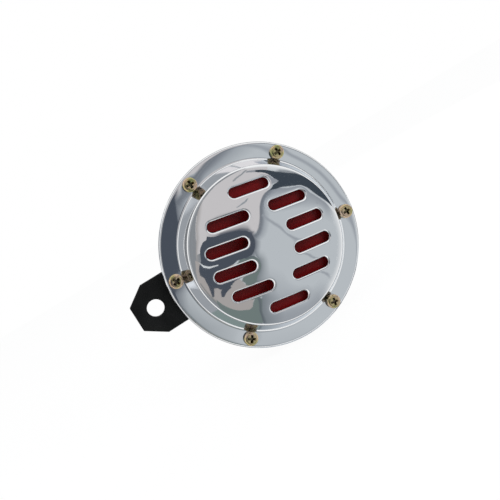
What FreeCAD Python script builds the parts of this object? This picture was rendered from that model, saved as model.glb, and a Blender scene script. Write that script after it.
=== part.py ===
"""Disc car horn with a slotted chrome cover, on a cranked steel bracket.

Frame: the origin is the centre of the bracket's mounting hole, at the middle of the strip.
+X runs along the strip from the hole to the horn's axis, the horn faces -Y, and +Z is up.
All sizes are in millimetres and all angles in degrees, seen from the front.
"""
import FreeCAD
import Part
import os
from math import atan2, cos, hypot, pi, radians, sin, sqrt, tan

os.makedirs("parts", exist_ok=True)

V = FreeCAD.Vector

# Cover: one pressed sheet with a slotted dome, a steep wall, a flange and a skirt
rim_dia = 100.0
cover_sheet = 0.8
skirt_depth = 5.4
rim_bend = 0.9
flange_width = 8.6
foot_bend = 0.7
wall_lean = 3.8
wall_height = 8.0
shoulder_bend = 0.6
dome_radius = 84.0

# Slots in the dome
slot_turn = -10.8
slot_length = 19.3
slot_width = 4.7
slot_margin = 7.9
slot_rows = 6
slot_lip = 0.45

# Screws that clamp the rim
screw_turn = -9.4
screw_count = 6
screw_inset = 4.7
screw_dia = 4.0
screw_play = 0.25
screw_head_dia = 7.0
screw_head_height = 2.5
recess_width = 1.1
recess_span = 4.2
recess_depth = 1.5
screw_end_proud = 1.2
screw_nut_flats = 7.0
screw_nut_height = 3.2
screw_lock_dia = 6.8
screw_lock_thick = 0.9

# Gaskets and diaphragm
rim_play = 0.1
gasket_thick = 0.8
gasket_width = 6.8
diaphragm_thick = 0.4
diaphragm_rise = 1.2
diaphragm_step_inset = 2.4
diaphragm_step_run = 6.0
diaphragm_bend = 2.0

# Tone disc on the armature's stud
disc_play = 1.6
disc_sheet = 1.0
disc_seat_dia = 17.0
disc_seat_drop = 2.4
disc_seat_run = 3.0
disc_crown = 1.0
disc_lip = 2.4
disc_bend = 0.8
spacer_dia = 15.0
spacer_height = 3.0
stud_dia = 6.0
stud_play = 0.15
stud_end_proud = 1.0
disc_nut_flats = 10.0
disc_nut_height = 5.0
disc_lock_dia = 11.0
disc_lock_thick = 1.4

# Armature and magnet
neck_dia = 12.0
neck_length = 4.7
collar_dia = 26.0
collar_thick = 2.0
plunger_length = 4.5
air_gap = 0.8
bore_play = 0.2
core_dia = 16.0
core_base_dia = 22.0
core_base_thick = 2.0
bobbin_wall = 1.0
bobbin_flange_thick = 1.2
bobbin_flange_dia = 38.0
winding_inset = 1.0

# Body shell: one pressed bowl
shell_sheet = 1.2
shell_bend = 1.0
mouth_inset = 0.9
bowl_floor_dia = 62.0
bowl_depth = 22.2
floor_bend = 4.0

# Mounting stud, its nuts and the bracket
mount_stud_dia = 8.0
mount_stud_play = 0.2
mount_stud_proud = 2.0
core_nut_flats = 13.0
core_nut_height = 4.0
bracket_nut_flats = 13.0
bracket_nut_height = 6.5
bracket_washer_dia = 17.0
bracket_washer_thick = 1.6
bracket_lock_dia = 13.5
bracket_lock_thick = 2.0
strip_width = 27.0
strip_thick = 3.0
strip_setback = 14.0
hole_dia = 8.6
hole_to_axis = 59.2
hole_to_end = 10.6
end_cut_along = 9.9
end_cut_across = 7.0
crank_from_axis = 30.0
crank_run = 15.0
strip_bend = 4.0

# Contact breaker beside the coil
blade_gap = 0.3
blade_thick = 0.4
blade_width = 8.0
blade_tip_play = 1.8
blade_flex_room = 1.0
contact_dia = 4.0
contact_height = 0.8
contact_from_axis = 18.4
arm_thick = 1.0
arm_width = 9.0
arm_tip_from_axis = 15.4
stack_end_from_axis = 32.0
stack_start_from_axis = 22.0
stack_width = 9.0
pad_thick = 1.2
breaker_sheet = 1.2
breaker_rivet_dia = 2.2
breaker_rivet_head = 3.8
breaker_rivet_head_height = 0.8
breaker_rivet_play = 0.3
adjuster_dia = 4.0
adjuster_along = 20.0
adjuster_side = 9.6
adjuster_ear = 3.6
adjuster_nut_flats = 7.0
adjuster_nut_height = 2.4
adjuster_head_dia = 7.0
adjuster_head_height = 2.4
adjuster_slot = 1.0
adjuster_thread_out = 2.0

# Terminals on the back of the bowl
terminal_from_axis = 21.4
terminal_spacing = 14.0
terminal_plate_along = 11.0
terminal_plate_across = 26.0
terminal_plate_thick = 2.4
terminal_plate_cut = 3.0
terminal_backing_along = 7.0
terminal_backing_thick = 1.0
terminal_width = 6.3
terminal_sheet = 0.8
terminal_foot = 7.4
terminal_reach = 9.0
terminal_tip_cut = 1.2
terminal_latch_dia = 1.8
terminal_rivet_dia = 3.0
terminal_rivet_head = 5.2
terminal_rivet_head_height = 1.0
terminal_boss_dia = 5.4
terminal_boss_play = 0.15

# Radii from the horn's axis, and what fits inside what
rim_radius = rim_dia / 2
foot_radius = rim_radius - flange_width
shoulder_radius = foot_radius - wall_lean
slot_reach = shoulder_radius - slot_margin
screw_radius = rim_radius - screw_inset
clamp_radius = rim_radius - cover_sheet - rim_bend - rim_play
gasket_bore = 2 * (clamp_radius - gasket_width)
step_radius = gasket_bore / 2 - diaphragm_step_inset
disc_radius = shoulder_radius - disc_play
mouth_radius = foot_radius - mouth_inset
bobbin_bore = core_dia + 2 * bore_play
plunger_dia = core_dia - 2 * bore_play
blade_tip_from_axis = plunger_dia / 2 + blade_tip_play
foot_rivet_z = stack_start_from_axis + breaker_sheet + breaker_rivet_play + breaker_rivet_head / 2
stack_rivet_z = (foot_rivet_z, stack_end_from_axis - breaker_rivet_head / 2 - breaker_rivet_play)
screw_hole = screw_dia + 2 * screw_play
stud_hole = stud_dia + 2 * stud_play
mount_hole = mount_stud_dia + 2 * mount_stud_play

# Places along the horn's axis, from the front to the back
axis_x = hole_to_axis
strip_front = -strip_thick / 2
flange_front = strip_front - strip_setback
shoulder_y = flange_front - wall_height
dome_centre_y = shoulder_y + sqrt(dome_radius ** 2 - shoulder_radius ** 2)
apex_y = dome_centre_y - dome_radius
front_gasket_y = flange_front + cover_sheet
diaphragm_y = front_gasket_y + gasket_thick
rear_gasket_y = diaphragm_y + diaphragm_thick
shell_y = rear_gasket_y + gasket_thick
shell_back_y = shell_y + shell_sheet
hub_front_y = diaphragm_y - diaphragm_rise
hub_back_y = hub_front_y + diaphragm_thick
disc_back_y = hub_front_y - spacer_height
disc_front_y = disc_back_y - disc_sheet
disc_lock_y = disc_front_y - disc_lock_thick
disc_nut_y = disc_lock_y - disc_nut_height
stud_end_y = disc_nut_y - stud_end_proud
collar_y = hub_back_y + neck_length
plunger_y = collar_y + collar_thick
plunger_end_y = plunger_y + plunger_length
core_y = plunger_end_y + air_gap
floor_back_y = shell_y + bowl_depth
floor_y = floor_back_y - shell_sheet
core_base_y = floor_y - core_base_thick
blade_y = plunger_y + blade_gap
blade_back_y = blade_y + blade_thick
arm_back_y = blade_y - 2 * contact_height
arm_y = arm_back_y - arm_thick
bobbin_y = blade_back_y + blade_flex_room
core_nut_y = floor_back_y
root_front_y = core_nut_y + core_nut_height
root_back_y = root_front_y + strip_thick
bracket_lock_y = root_back_y + bracket_washer_thick
bracket_nut_y = bracket_lock_y + bracket_lock_thick
bracket_nut_end_y = bracket_nut_y + bracket_nut_height
mount_stud_end_y = bracket_nut_end_y + mount_stud_proud


def at(radius, y):
    """A point of a half section, at a radius from the horn's axis."""
    return V(axis_x + radius, y, 0)


def rounded_path(points, radii):
    """Edges through the points, each inner corner rounded by its radius."""
    edges = []
    start = points[0]
    for before, corner, after, radius in zip(points, points[1:], points[2:], radii):
        back = (before - corner).normalize()
        ahead = (after - corner).normalize()
        half = back.getAngle(ahead) / 2
        if radius == 0:
            edges.append(Part.LineSegment(start, corner).toShape())
            start = corner
            continue
        reach = radius / tan(half)
        first = corner + back * reach
        last = corner + ahead * reach
        inward = (back + ahead).normalize()
        middle = corner + inward * (radius / sin(half) - radius)
        edges.append(Part.LineSegment(start, first).toShape())
        edges.append(Part.Arc(first, middle, last).toShape())
        start = last
    edges.append(Part.LineSegment(start, points[-1]).toShape())
    return edges


def turned(edges):
    """A solid of revolution about the horn's axis from a closed half section."""
    face = Part.Face(Part.Wire(Part.__sortEdges__(edges)))
    return face.revolve(V(axis_x, 0, 0), V(0, 1, 0), 360)


def turned_points(points, radii=None):
    """A turned solid from the corners of its half section, given as radius and place."""
    corners = [at(radius, y) for radius, y in points]
    closed = corners + corners[:1]
    return turned(rounded_path(closed, radii or [0] * (len(corners) - 1)))


def sheet_corners(points, thick):
    """The far side of a sheet: each corner of the near side moved back by its thickness."""
    far = []
    steps = [(b - a).normalize() for a, b in zip(points, points[1:])]
    for point, before, after in zip(points, steps[:1] + steps, steps + steps[-1:]):
        normals = [V(-step.y, step.x, 0) for step in (before, after)]
        mitre = (normals[0] + normals[1]) / (1 + normals[0].dot(normals[1]))
        far.append(point + mitre * thick)
    return far


def turned_sheet(points, thick, bends):
    """A turned sheet: near-side corners from the centre out, each with its inside bend.

    A bend is positive where the near side is the outside of the corner.
    """
    near = [at(radius, y) for radius, y in points]
    far = sheet_corners(near, thick)
    near_radii = [abs(bend) + (thick if bend > 0 else 0) if bend else 0 for bend in bends]
    far_radii = [abs(bend) + (thick if bend < 0 else 0) if bend else 0 for bend in bends]
    radii = near_radii + [0, 0] + far_radii[::-1] + [0]
    return turned(rounded_path(near + far[::-1] + near[:1], radii))


def rod(dia, start_y, end_y, x=axis_x, z=0.0):
    """A round bar parallel to the horn's axis."""
    return Part.makeCylinder(dia / 2, end_y - start_y, V(x, start_y, z), V(0, 1, 0))


def ring(outer_dia, inner_dia, start_y, end_y, x=axis_x, z=0.0):
    """A flat ring parallel to the horn's face."""
    return rod(outer_dia, start_y, end_y, x, z).cut(rod(inner_dia, start_y, end_y, x, z))


def block(low, high):
    """A box between two corners."""
    size = high - low
    return Part.makeBox(size.x, size.y, size.z, low)


def plate(outline, start_y, end_y):
    """A flat plate from its outline in X and Z."""
    corners = [V(x, start_y, z) for x, z in outline]
    face = Part.Face(Part.makePolygon(corners + corners[:1]))
    return face.extrude(V(0, end_y - start_y, 0))


def about_axis(shape, angle):
    """The shape turned about the horn's axis, anticlockwise as seen from the front."""
    copy = shape.copy()
    copy.rotate(V(axis_x, 0, 0), V(0, -1, 0), angle)
    return copy


def screw_angles():
    """Where the rim screws stand round the horn."""
    return [screw_turn + 360.0 * number / screw_count for number in range(screw_count)]


def screw_ring(shape):
    """Copies of a shape made at angle 0, one at each rim screw."""
    return [about_axis(shape, angle) for angle in screw_angles()]


def cut_screw_holes(shape, start_y, end_y):
    """Clearance holes for the rim screws."""
    hole = rod(screw_hole, start_y, end_y, axis_x + screw_radius)
    return shape.cut(Part.makeCompound(screw_ring(hole)))


def hex_nut(flats, bore, start_y, end_y, x=axis_x, z=0.0):
    """A hexagon nut with turned corners; two flats face along X."""
    corner = flats / sqrt(3)
    angles = [radians(30 + 60 * side) for side in range(6)]
    outline = [(x + corner * cos(angle), z + corner * sin(angle)) for angle in angles]
    nut = plate(outline, start_y, end_y)
    bevel = (corner - flats / 2) * 0.6
    turning = [(0, start_y), (corner - 2 * bevel, start_y), (corner, start_y + bevel),
               (corner, end_y - bevel), (corner - 2 * bevel, end_y), (0, end_y)]
    blank = turned_points(turning)
    blank.translate(V(x - axis_x, 0, z))
    return nut.common(blank).cut(rod(bore, start_y, end_y, x, z))


def lock_washer(outer_dia, inner_dia, start_y, end_y, x=axis_x, z=0.0):
    """A split spring washer, closed flat as it is when tightened."""
    width = (end_y - start_y) / 3
    washer = ring(outer_dia, inner_dia, start_y, end_y, x, z)
    gap = block(V(x, start_y, z - width / 2), V(x + outer_dia, end_y, z + width / 2))
    return washer.cut(gap)


def slot_cutter(u_start, v):
    """One slot's punch, from its left end, in the slots' own level frame."""
    radius = slot_width / 2
    depth = floor_y - apex_y
    left = axis_x + u_start + radius
    right = axis_x + u_start + slot_length - radius
    middle = block(V(left, apex_y, v - radius), V(right, apex_y + depth, v + radius))
    ends = [rod(slot_width, apex_y, apex_y + depth, x, v) for x in (left, right)]
    return middle.fuse(ends).removeSplitter()


def slot_starts():
    """The left end and the height of each slot: one in the outer rows, two in the others."""
    outer_row = (slot_rows - 1) / 2
    pitch = sqrt(slot_reach ** 2 - (slot_length / 2) ** 2) / outer_row
    starts = []
    for number in range(slot_rows):
        v = (number - outer_row) * pitch
        if number in (0, slot_rows - 1):
            starts.append((-slot_length / 2, v))
        else:
            outer_end = sqrt(slot_reach ** 2 - v ** 2)
            starts.append((outer_end - slot_length, v))
            starts.append((-outer_end, v))
    return starts


def dome_arc(radius, corner):
    """The dome's arc from the horn's axis out to a corner that lies on it."""
    centre = at(0, dome_centre_y)
    outward = corner - centre
    circle = Part.Circle(centre, V(0, 0, 1), radius)
    return Part.ArcOfCircle(circle, -pi / 2, atan2(outward.y, outward.x)).toShape()


def where_wall_meets(radius, foot, slope):
    """Where a line up from the wall's foot meets the dome's circle of that radius."""
    lever = foot - at(0, dome_centre_y)
    along = lever.dot(slope)
    return foot + slope * (sqrt(along ** 2 - lever.dot(lever) + radius ** 2) - along)


def grille_cover():
    """The chrome cover with its dome, wall, flange, skirt and slots."""
    shoulder = at(shoulder_radius, shoulder_y)
    foot = at(foot_radius, flange_front)
    rim = at(rim_radius, flange_front)
    hem = at(rim_radius, flange_front + skirt_depth)
    slope = (shoulder - foot).normalize()
    inside = sheet_corners([shoulder, foot, rim, hem], cover_sheet)
    inside[0] = where_wall_meets(dome_radius - cover_sheet, inside[1], slope)
    path = [shoulder, foot, rim, hem] + inside[::-1]
    radii = [foot_bend, rim_bend + cover_sheet, 0, 0, rim_bend, foot_bend + cover_sheet]
    edges = rounded_path(path, radii)
    edges.append(dome_arc(dome_radius - cover_sheet, inside[0]))
    edges.append(Part.LineSegment(at(0, apex_y + cover_sheet), at(0, apex_y)).toShape())
    edges.append(dome_arc(dome_radius, shoulder))
    cover = turned(edges)
    cover = round_circles(cover, shoulder, shoulder_bend + cover_sheet)
    cover = round_circles(cover, inside[0], shoulder_bend)
    punches = Part.makeCompound([slot_cutter(u, v) for u, v in slot_starts()])
    cover = cover.cut(about_axis(punches, slot_turn))
    cover = round_slot_mouths(cover)
    return cut_screw_holes(cover, flange_front, front_gasket_y)


def round_circles(solid, corner, radius):
    """Rounds the circular edge that runs through a corner of the half section."""
    edges = [edge for edge in solid.Edges
             if abs(edge.BoundBox.YMin - corner.y) < 1e-4 and edge.BoundBox.YLength < 1e-4
             and abs(edge.BoundBox.XMax - corner.x) < 1e-4]
    return solid.makeFillet(radius, edges)


def round_slot_mouths(cover):
    """Rounds the front edges of the slots."""
    middle_radius = dome_radius - cover_sheet / 2
    centre = V(axis_x, dome_centre_y, 0)
    mouths = []
    for edge in cover.Edges:
        spots = [edge.valueAt(edge.FirstParameter + part * (edge.LastParameter - edge.FirstParameter))
                 for part in (0.1, 0.5, 0.9)]
        on_dome = all(abs(spot.distanceToPoint(centre) - dome_radius) < 1e-3 for spot in spots)
        inside = all(hypot(spot.x - axis_x, spot.z) < slot_reach + slot_width for spot in spots)
        off_centre = all(spot.distanceToPoint(centre) > middle_radius for spot in spots)
        seam = all(abs(spot.z) < 1e-6 for spot in spots)
        if on_dome and inside and off_centre and not seam:
            mouths.append(edge)
    return cover.makeFillet(slot_lip, mouths)


def cover_screws():
    """Pan-head cross-recessed screws through the rim."""
    x = axis_x + screw_radius
    top_y = flange_front - screw_head_height
    head = rod(screw_head_dia, top_y, flange_front, x)
    crown = [edge for edge in head.Edges if edge.BoundBox.YMax < top_y + 1e-6]
    head = head.makeFillet(screw_head_height * 0.7, crown)
    end_y = shell_back_y + screw_lock_thick + screw_nut_height + screw_end_proud
    screw = head.fuse(rod(screw_dia, flange_front, end_y, x))
    tip = [edge for edge in screw.Edges if edge.BoundBox.YMin > end_y - 1e-6]
    screw = screw.makeChamfer(0.4, tip).cut(cross_recess(x, top_y))
    return screw_ring(screw.removeSplitter())


def cross_recess(x, top_y):
    """The tapered cross that the driver enters."""
    arms = []
    for turn in (45, 135):
        mouth = recess_span / 2
        root = recess_span / 6
        corners = [V(x - mouth, top_y - 0.1, 0), V(x + mouth, top_y - 0.1, 0),
                   V(x + root, top_y + recess_depth, 0), V(x - root, top_y + recess_depth, 0)]
        face = Part.Face(Part.makePolygon(corners + corners[:1]))
        face.translate(V(0, 0, -recess_width / 2))
        arm = face.extrude(V(0, 0, recess_width))
        arm.rotate(V(x, 0, 0), V(0, -1, 0), turn)
        arms.append(arm)
    return arms[0].fuse(arms[1])


def cover_lock_washers():
    """Spring washers under the rim nuts."""
    x = axis_x + screw_radius
    end_y = shell_back_y + screw_lock_thick
    washer = lock_washer(screw_lock_dia, screw_hole, shell_back_y, end_y, x)
    return screw_ring(washer)


def cover_nuts():
    """Nuts behind the bowl's flange."""
    x = axis_x + screw_radius
    start_y = shell_back_y + screw_lock_thick
    nut = hex_nut(screw_nut_flats, screw_dia, start_y, start_y + screw_nut_height, x)
    return screw_ring(nut)


def gasket(start_y):
    """A fibre ring between the rim's layers."""
    body = ring(2 * clamp_radius, gasket_bore, start_y, start_y + gasket_thick)
    return cut_screw_holes(body, start_y, start_y + gasket_thick)


def diaphragm():
    """The spring-steel diaphragm, its middle raised towards the front."""
    points = [(stud_hole / 2, hub_front_y), (step_radius - diaphragm_step_run, hub_front_y),
              (step_radius, diaphragm_y), (clamp_radius, diaphragm_y)]
    body = turned_sheet(points, diaphragm_thick, [diaphragm_bend, -diaphragm_bend])
    return cut_screw_holes(body, diaphragm_y, rear_gasket_y)


def tone_disc():
    """The dished sounding disc that shows through the slots."""
    seat = disc_seat_dia / 2
    brim = disc_front_y - disc_seat_drop
    edge_y = brim - disc_crown
    points = [(stud_hole / 2, disc_front_y), (seat, disc_front_y),
              (seat + disc_seat_run, brim), (disc_radius - disc_sheet, edge_y),
              (disc_radius, edge_y + disc_lip)]
    return turned_sheet(points, disc_sheet, [-disc_bend, disc_bend, disc_bend])


def armature():
    """The plunger with its collar, neck and threaded stud, turned in one piece."""
    points = [(0, stud_end_y), (stud_dia / 2 - 0.5, stud_end_y), (stud_dia / 2, stud_end_y + 0.5),
              (stud_dia / 2, hub_back_y), (neck_dia / 2, hub_back_y), (neck_dia / 2, collar_y),
              (collar_dia / 2, collar_y), (collar_dia / 2, plunger_y), (plunger_dia / 2, plunger_y),
              (plunger_dia / 2, plunger_end_y), (0, plunger_end_y)]
    return turned_points(points)


def body_shell():
    """The pressed bowl that carries the magnet, with its holes."""
    cone = [(0, floor_y), (bowl_floor_dia / 2, floor_y), (mouth_radius, shell_y),
            (clamp_radius, shell_y)]
    shell = turned_sheet(cone, shell_sheet, [-floor_bend, shell_bend])
    shell = cut_screw_holes(shell, shell_y, shell_back_y)
    holes = [rod(mount_hole, floor_y, floor_back_y)]
    holes += [rod(terminal_boss_dia + 2 * terminal_boss_play, floor_y, floor_back_y, x, z)
              for x, z in terminal_spots()]
    holes.append(rod(adjuster_dia, floor_y, floor_back_y, axis_x + adjuster_side, adjuster_along))
    holes += [rod(breaker_rivet_dia, floor_y, floor_back_y, x, z) for x, z in foot_rivet_spots()]
    return shell.cut(Part.makeCompound(holes))


def pole_core():
    """The magnet's core, whose tail is the horn's mounting stud."""
    stud = mount_stud_dia / 2
    points = [(0, core_y), (core_dia / 2, core_y), (core_dia / 2, core_base_y),
              (core_base_dia / 2, core_base_y), (core_base_dia / 2, floor_y), (stud, floor_y),
              (stud, mount_stud_end_y - 1.0), (stud - 1.0, mount_stud_end_y), (0, mount_stud_end_y)]
    return turned_points(points)


def coil_bobbin():
    """The spool that slips over the core and takes the plunger in its mouth."""
    bore = bobbin_bore / 2
    barrel = bore + bobbin_wall
    flange = bobbin_flange_dia / 2
    front = bobbin_y + bobbin_flange_thick
    back = core_base_y - bobbin_flange_thick
    points = [(bore, bobbin_y), (flange, bobbin_y), (flange, front), (barrel, front), (barrel, back),
              (flange, back), (flange, core_base_y), (bore, core_base_y)]
    return turned_points(points)


def coil_winding():
    """The enamelled wire, as one wound body."""
    outer = bobbin_flange_dia - 2 * winding_inset
    inner = bobbin_bore + 2 * bobbin_wall
    start_y = bobbin_y + bobbin_flange_thick
    return ring(outer, inner, start_y, core_base_y - bobbin_flange_thick)


def bracket():
    """The cranked strip: root on the stud, free end with the mounting hole."""
    crank_end = crank_from_axis + crank_run
    far_end = hole_to_axis + hole_to_end
    half = strip_width / 2
    near = [V(axis_x + half, root_front_y, 0), V(axis_x - crank_from_axis, root_front_y, 0),
            V(axis_x - crank_end, strip_front, 0), V(axis_x - far_end, strip_front, 0)]
    far = sheet_corners(near, -strip_thick)
    radii = [strip_bend, strip_bend + strip_thick, 0, 0, strip_bend, strip_bend + strip_thick, 0]
    outline = rounded_path(near + far[::-1] + near[:1], radii)
    face = Part.Face(Part.Wire(Part.__sortEdges__(outline)))
    face.translate(V(0, 0, -half))
    strip = face.extrude(V(0, 0, strip_width))
    low_y = strip_front - 1.0
    high_y = root_back_y + 1.0
    corner = half - end_cut_across
    shoulder = end_cut_along - far_end
    blank = plate([(axis_x, -half), (axis_x, half), (axis_x + shoulder, half),
                   (axis_x - far_end, corner), (axis_x - far_end, -corner),
                   (axis_x + shoulder, -half)], low_y, high_y)
    blank = blank.fuse(rod(strip_width, low_y, high_y))
    strip = strip.common(blank)
    strip = strip.cut(rod(mount_hole, low_y, high_y))
    return strip.cut(rod(hole_dia, low_y, high_y, 0, 0)).removeSplitter()


def bar_along_z(width, start, end, start_y, end_y, x=axis_x):
    """A flat bar that runs up from the axis, by its ends' distances from it."""
    return block(V(x - width / 2, start_y, start), V(x + width / 2, end_y, end))


def drill_stack(shape, dia):
    """Holes for the breaker's rivets."""
    holes = [rod(dia, arm_y - 1, floor_y, axis_x, z) for z in stack_rivet_z]
    return shape.cut(Part.makeCompound(holes))


def moving_blade():
    """The spring blade that the collar pushes, with its contact riveted on."""
    bar = bar_along_z(blade_width, blade_tip_from_axis, stack_end_from_axis, blade_y, blade_back_y)
    return drill_stack(bar, breaker_rivet_dia + 2 * breaker_rivet_play)


def contact(start_y):
    """A round silver contact."""
    return rod(contact_dia, start_y, start_y + contact_height, axis_x, contact_from_axis)


def fixed_arm():
    """The stiff arm of the fixed contact, with an ear for the adjuster."""
    bar = bar_along_z(arm_width, arm_tip_from_axis, stack_end_from_axis, arm_y, arm_back_y)
    low = V(axis_x, arm_y, adjuster_along - adjuster_ear)
    high = V(axis_x + adjuster_side + adjuster_ear, arm_back_y, adjuster_along + adjuster_ear)
    arm = bar.fuse(block(low, high)).removeSplitter()
    return drill_stack(arm, breaker_rivet_dia + 2 * breaker_rivet_play)


def stack_pad(start_y, end_y):
    """A fibre pad that keeps the breaker's layers apart."""
    pad = bar_along_z(stack_width, stack_start_from_axis, stack_end_from_axis, start_y, end_y)
    return drill_stack(pad, breaker_rivet_dia)


def breaker_pads():
    """The pads in front of and behind the moving blade."""
    return [stack_pad(arm_back_y, blade_y), stack_pad(blade_back_y, blade_back_y + pad_thick)]


def foot_rivet_spots():
    """Where the breaker's bracket is riveted to the bowl's floor."""
    offset = (stack_width - breaker_rivet_head) / 2
    return [(axis_x - offset, foot_rivet_z), (axis_x + offset, foot_rivet_z)]


def breaker_bracket():
    """The folded bracket that carries the stack above the bowl's floor."""
    top_y = blade_back_y + pad_thick
    half = stack_width / 2
    web = stack_start_from_axis + breaker_sheet
    foot_end = foot_rivet_z + breaker_rivet_head / 2 + breaker_rivet_play
    outline = [(stack_end_from_axis, top_y), (stack_start_from_axis, top_y),
               (stack_start_from_axis, floor_y), (foot_end, floor_y),
               (foot_end, floor_y - breaker_sheet), (web, floor_y - breaker_sheet),
               (web, top_y + breaker_sheet), (stack_end_from_axis, top_y + breaker_sheet)]
    corners = [V(axis_x - half, y, z) for z, y in outline]
    face = Part.Face(Part.makePolygon(corners + corners[:1]))
    body = drill_stack(face.extrude(V(stack_width, 0, 0)), breaker_rivet_dia)
    holes = [rod(breaker_rivet_dia, floor_y - 2, floor_y, x, z) for x, z in foot_rivet_spots()]
    return body.cut(Part.makeCompound(holes))


def rivet(dia, head_dia, head_height, start_y, end_y, x, z):
    """A rivet with a head at each end of the layers that it clamps."""
    shank = rod(dia, start_y, end_y, x, z)
    front_head = rod(head_dia, start_y - head_height, start_y, x, z)
    back_head = rod(head_dia, end_y, end_y + head_height, x, z)
    return shank.fuse([front_head, back_head])


def breaker_rivets():
    """Two rivets through the stack and two through the bracket's foot."""
    sizes = (breaker_rivet_dia, breaker_rivet_head, breaker_rivet_head_height)
    stack_back_y = blade_back_y + pad_thick + breaker_sheet
    stack = [rivet(*sizes, arm_y, stack_back_y, axis_x, z) for z in stack_rivet_z]
    foot = [rivet(*sizes, floor_y - breaker_sheet, floor_back_y, x, z) for x, z in foot_rivet_spots()]
    return stack + foot


def adjusting_screw():
    """The slotted screw that sets the contacts from the back of the bowl."""
    x = axis_x + adjuster_side
    seat_y = floor_back_y + adjuster_nut_height + adjuster_thread_out
    top_y = seat_y + adjuster_head_height
    screw = rod(adjuster_dia, arm_back_y, seat_y, x, adjuster_along)
    screw = screw.fuse(rod(adjuster_head_dia, seat_y, top_y, x, adjuster_along))
    half = adjuster_slot / 2
    reach = adjuster_head_dia
    slot = block(V(x - reach, top_y - adjuster_head_height / 2, adjuster_along - half),
                 V(x + reach, top_y, adjuster_along + half))
    return screw.cut(slot)


def adjuster_nut():
    """The nut that locks the adjusting screw."""
    x = axis_x + adjuster_side
    end_y = floor_back_y + adjuster_nut_height
    return hex_nut(adjuster_nut_flats, adjuster_dia, floor_back_y, end_y, x, adjuster_along)


def terminal_spots():
    """Where the terminals' rivets stand."""
    half = terminal_spacing / 2
    return [(axis_x + terminal_from_axis, -half), (axis_x + terminal_from_axis, half)]


def terminal_plate():
    """The moulded plate under the terminals, with a boss through each hole of the floor."""
    low = axis_x + terminal_from_axis - terminal_plate_along / 2
    high = low + terminal_plate_along
    half = terminal_plate_across / 2
    cut = terminal_plate_cut
    outline = [(low, -half), (high - cut, -half), (high, cut - half), (high, half - cut),
               (high - cut, half), (low, half)]
    body = plate(outline, floor_back_y, floor_back_y + terminal_plate_thick)
    bosses = [rod(terminal_boss_dia, floor_y, floor_back_y, x, z) for x, z in terminal_spots()]
    holes = [rod(terminal_rivet_dia, floor_y, floor_back_y + terminal_plate_thick, x, z)
             for x, z in terminal_spots()]
    return body.fuse(bosses).cut(Part.makeCompound(holes))


def terminal_backing():
    """The fibre strip inside the floor."""
    low = axis_x + terminal_from_axis - terminal_backing_along / 2
    high = low + terminal_backing_along
    half = terminal_plate_across / 2 - terminal_plate_cut
    body = block(V(low, floor_y - terminal_backing_thick, -half), V(high, floor_y, half))
    holes = [rod(terminal_rivet_dia, floor_y - terminal_backing_thick, floor_y, x, z)
             for x, z in terminal_spots()]
    return body.cut(Part.makeCompound(holes))


def terminals():
    """Two blade terminals, each bent up from the foot under its rivet."""
    shapes = []
    for x, z in terminal_spots():
        seat_y = floor_back_y + terminal_plate_thick
        half = terminal_width / 2
        outer = x + terminal_foot / 2
        tip_y = seat_y + terminal_reach
        foot = block(V(outer - terminal_foot, seat_y, z - half), V(outer, seat_y + terminal_sheet, z + half))
        blade = block(V(outer - terminal_sheet, seat_y, z - half), V(outer, tip_y, z + half))
        blade = blade.makeChamfer(terminal_tip_cut, tip_edges(blade, tip_y))
        latch_place = V(outer - terminal_sheet, tip_y - terminal_reach / 3, z)
        latch = Part.makeCylinder(terminal_latch_dia / 2, terminal_sheet, latch_place, V(1, 0, 0))
        hole = rod(terminal_rivet_dia, seat_y, seat_y + terminal_sheet, x, z)
        shapes.append(foot.fuse(blade).removeSplitter().cut(latch).cut(hole))
    return shapes


def tip_edges(blade, tip_y):
    """The two short edges across the thickness at a blade's tip."""
    return [edge for edge in blade.Edges
            if edge.BoundBox.YMin > tip_y - 1e-6 and edge.BoundBox.XLength > terminal_sheet - 1e-6
            and edge.BoundBox.ZLength < 1e-6]


def terminal_rivets():
    """The rivets that hold the terminals and join them to the inside."""
    start_y = floor_y - terminal_backing_thick
    end_y = floor_back_y + terminal_plate_thick + terminal_sheet
    sizes = (terminal_rivet_dia, terminal_rivet_head, terminal_rivet_head_height)
    return [rivet(*sizes, start_y, end_y, x, z) for x, z in terminal_spots()]


NODES = {
    "grille_cover": grille_cover(),
    "cover_screws": cover_screws(),
    "cover_lock_washers": cover_lock_washers(),
    "cover_nuts": cover_nuts(),
    "front_gasket": gasket(front_gasket_y),
    "diaphragm": diaphragm(),
    "rear_gasket": gasket(rear_gasket_y),
    "tone_disc": tone_disc(),
    "disc_spacer": ring(spacer_dia, stud_hole, disc_back_y, hub_front_y),
    "disc_lock_washer": lock_washer(disc_lock_dia, stud_hole, disc_lock_y, disc_front_y),
    "disc_nut": hex_nut(disc_nut_flats, stud_dia, disc_nut_y, disc_lock_y),
    "armature": armature(),
    "body_shell": body_shell(),
    "pole_core": pole_core(),
    "coil_bobbin": coil_bobbin(),
    "coil_winding": coil_winding(),
    "core_nut": hex_nut(core_nut_flats, mount_stud_dia, core_nut_y, root_front_y),
    "bracket": bracket(),
    "bracket_washer": ring(bracket_washer_dia, mount_hole, root_back_y, bracket_lock_y),
    "bracket_lock_washer": lock_washer(bracket_lock_dia, mount_hole, bracket_lock_y, bracket_nut_y),
    "bracket_nut": hex_nut(bracket_nut_flats, mount_stud_dia, bracket_nut_y, bracket_nut_end_y),
    "moving_blade": moving_blade(),
    "moving_contact": contact(blade_y - contact_height),
    "fixed_arm": fixed_arm(),
    "fixed_contact": contact(arm_back_y),
    "breaker_pads": breaker_pads(),
    "breaker_bracket": breaker_bracket(),
    "breaker_rivets": breaker_rivets(),
    "adjusting_screw": adjusting_screw(),
    "adjuster_nut": adjuster_nut(),
    "terminal_plate": terminal_plate(),
    "terminal_backing": terminal_backing(),
    "terminals": terminals(),
    "terminal_rivets": terminal_rivets(),
}

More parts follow.
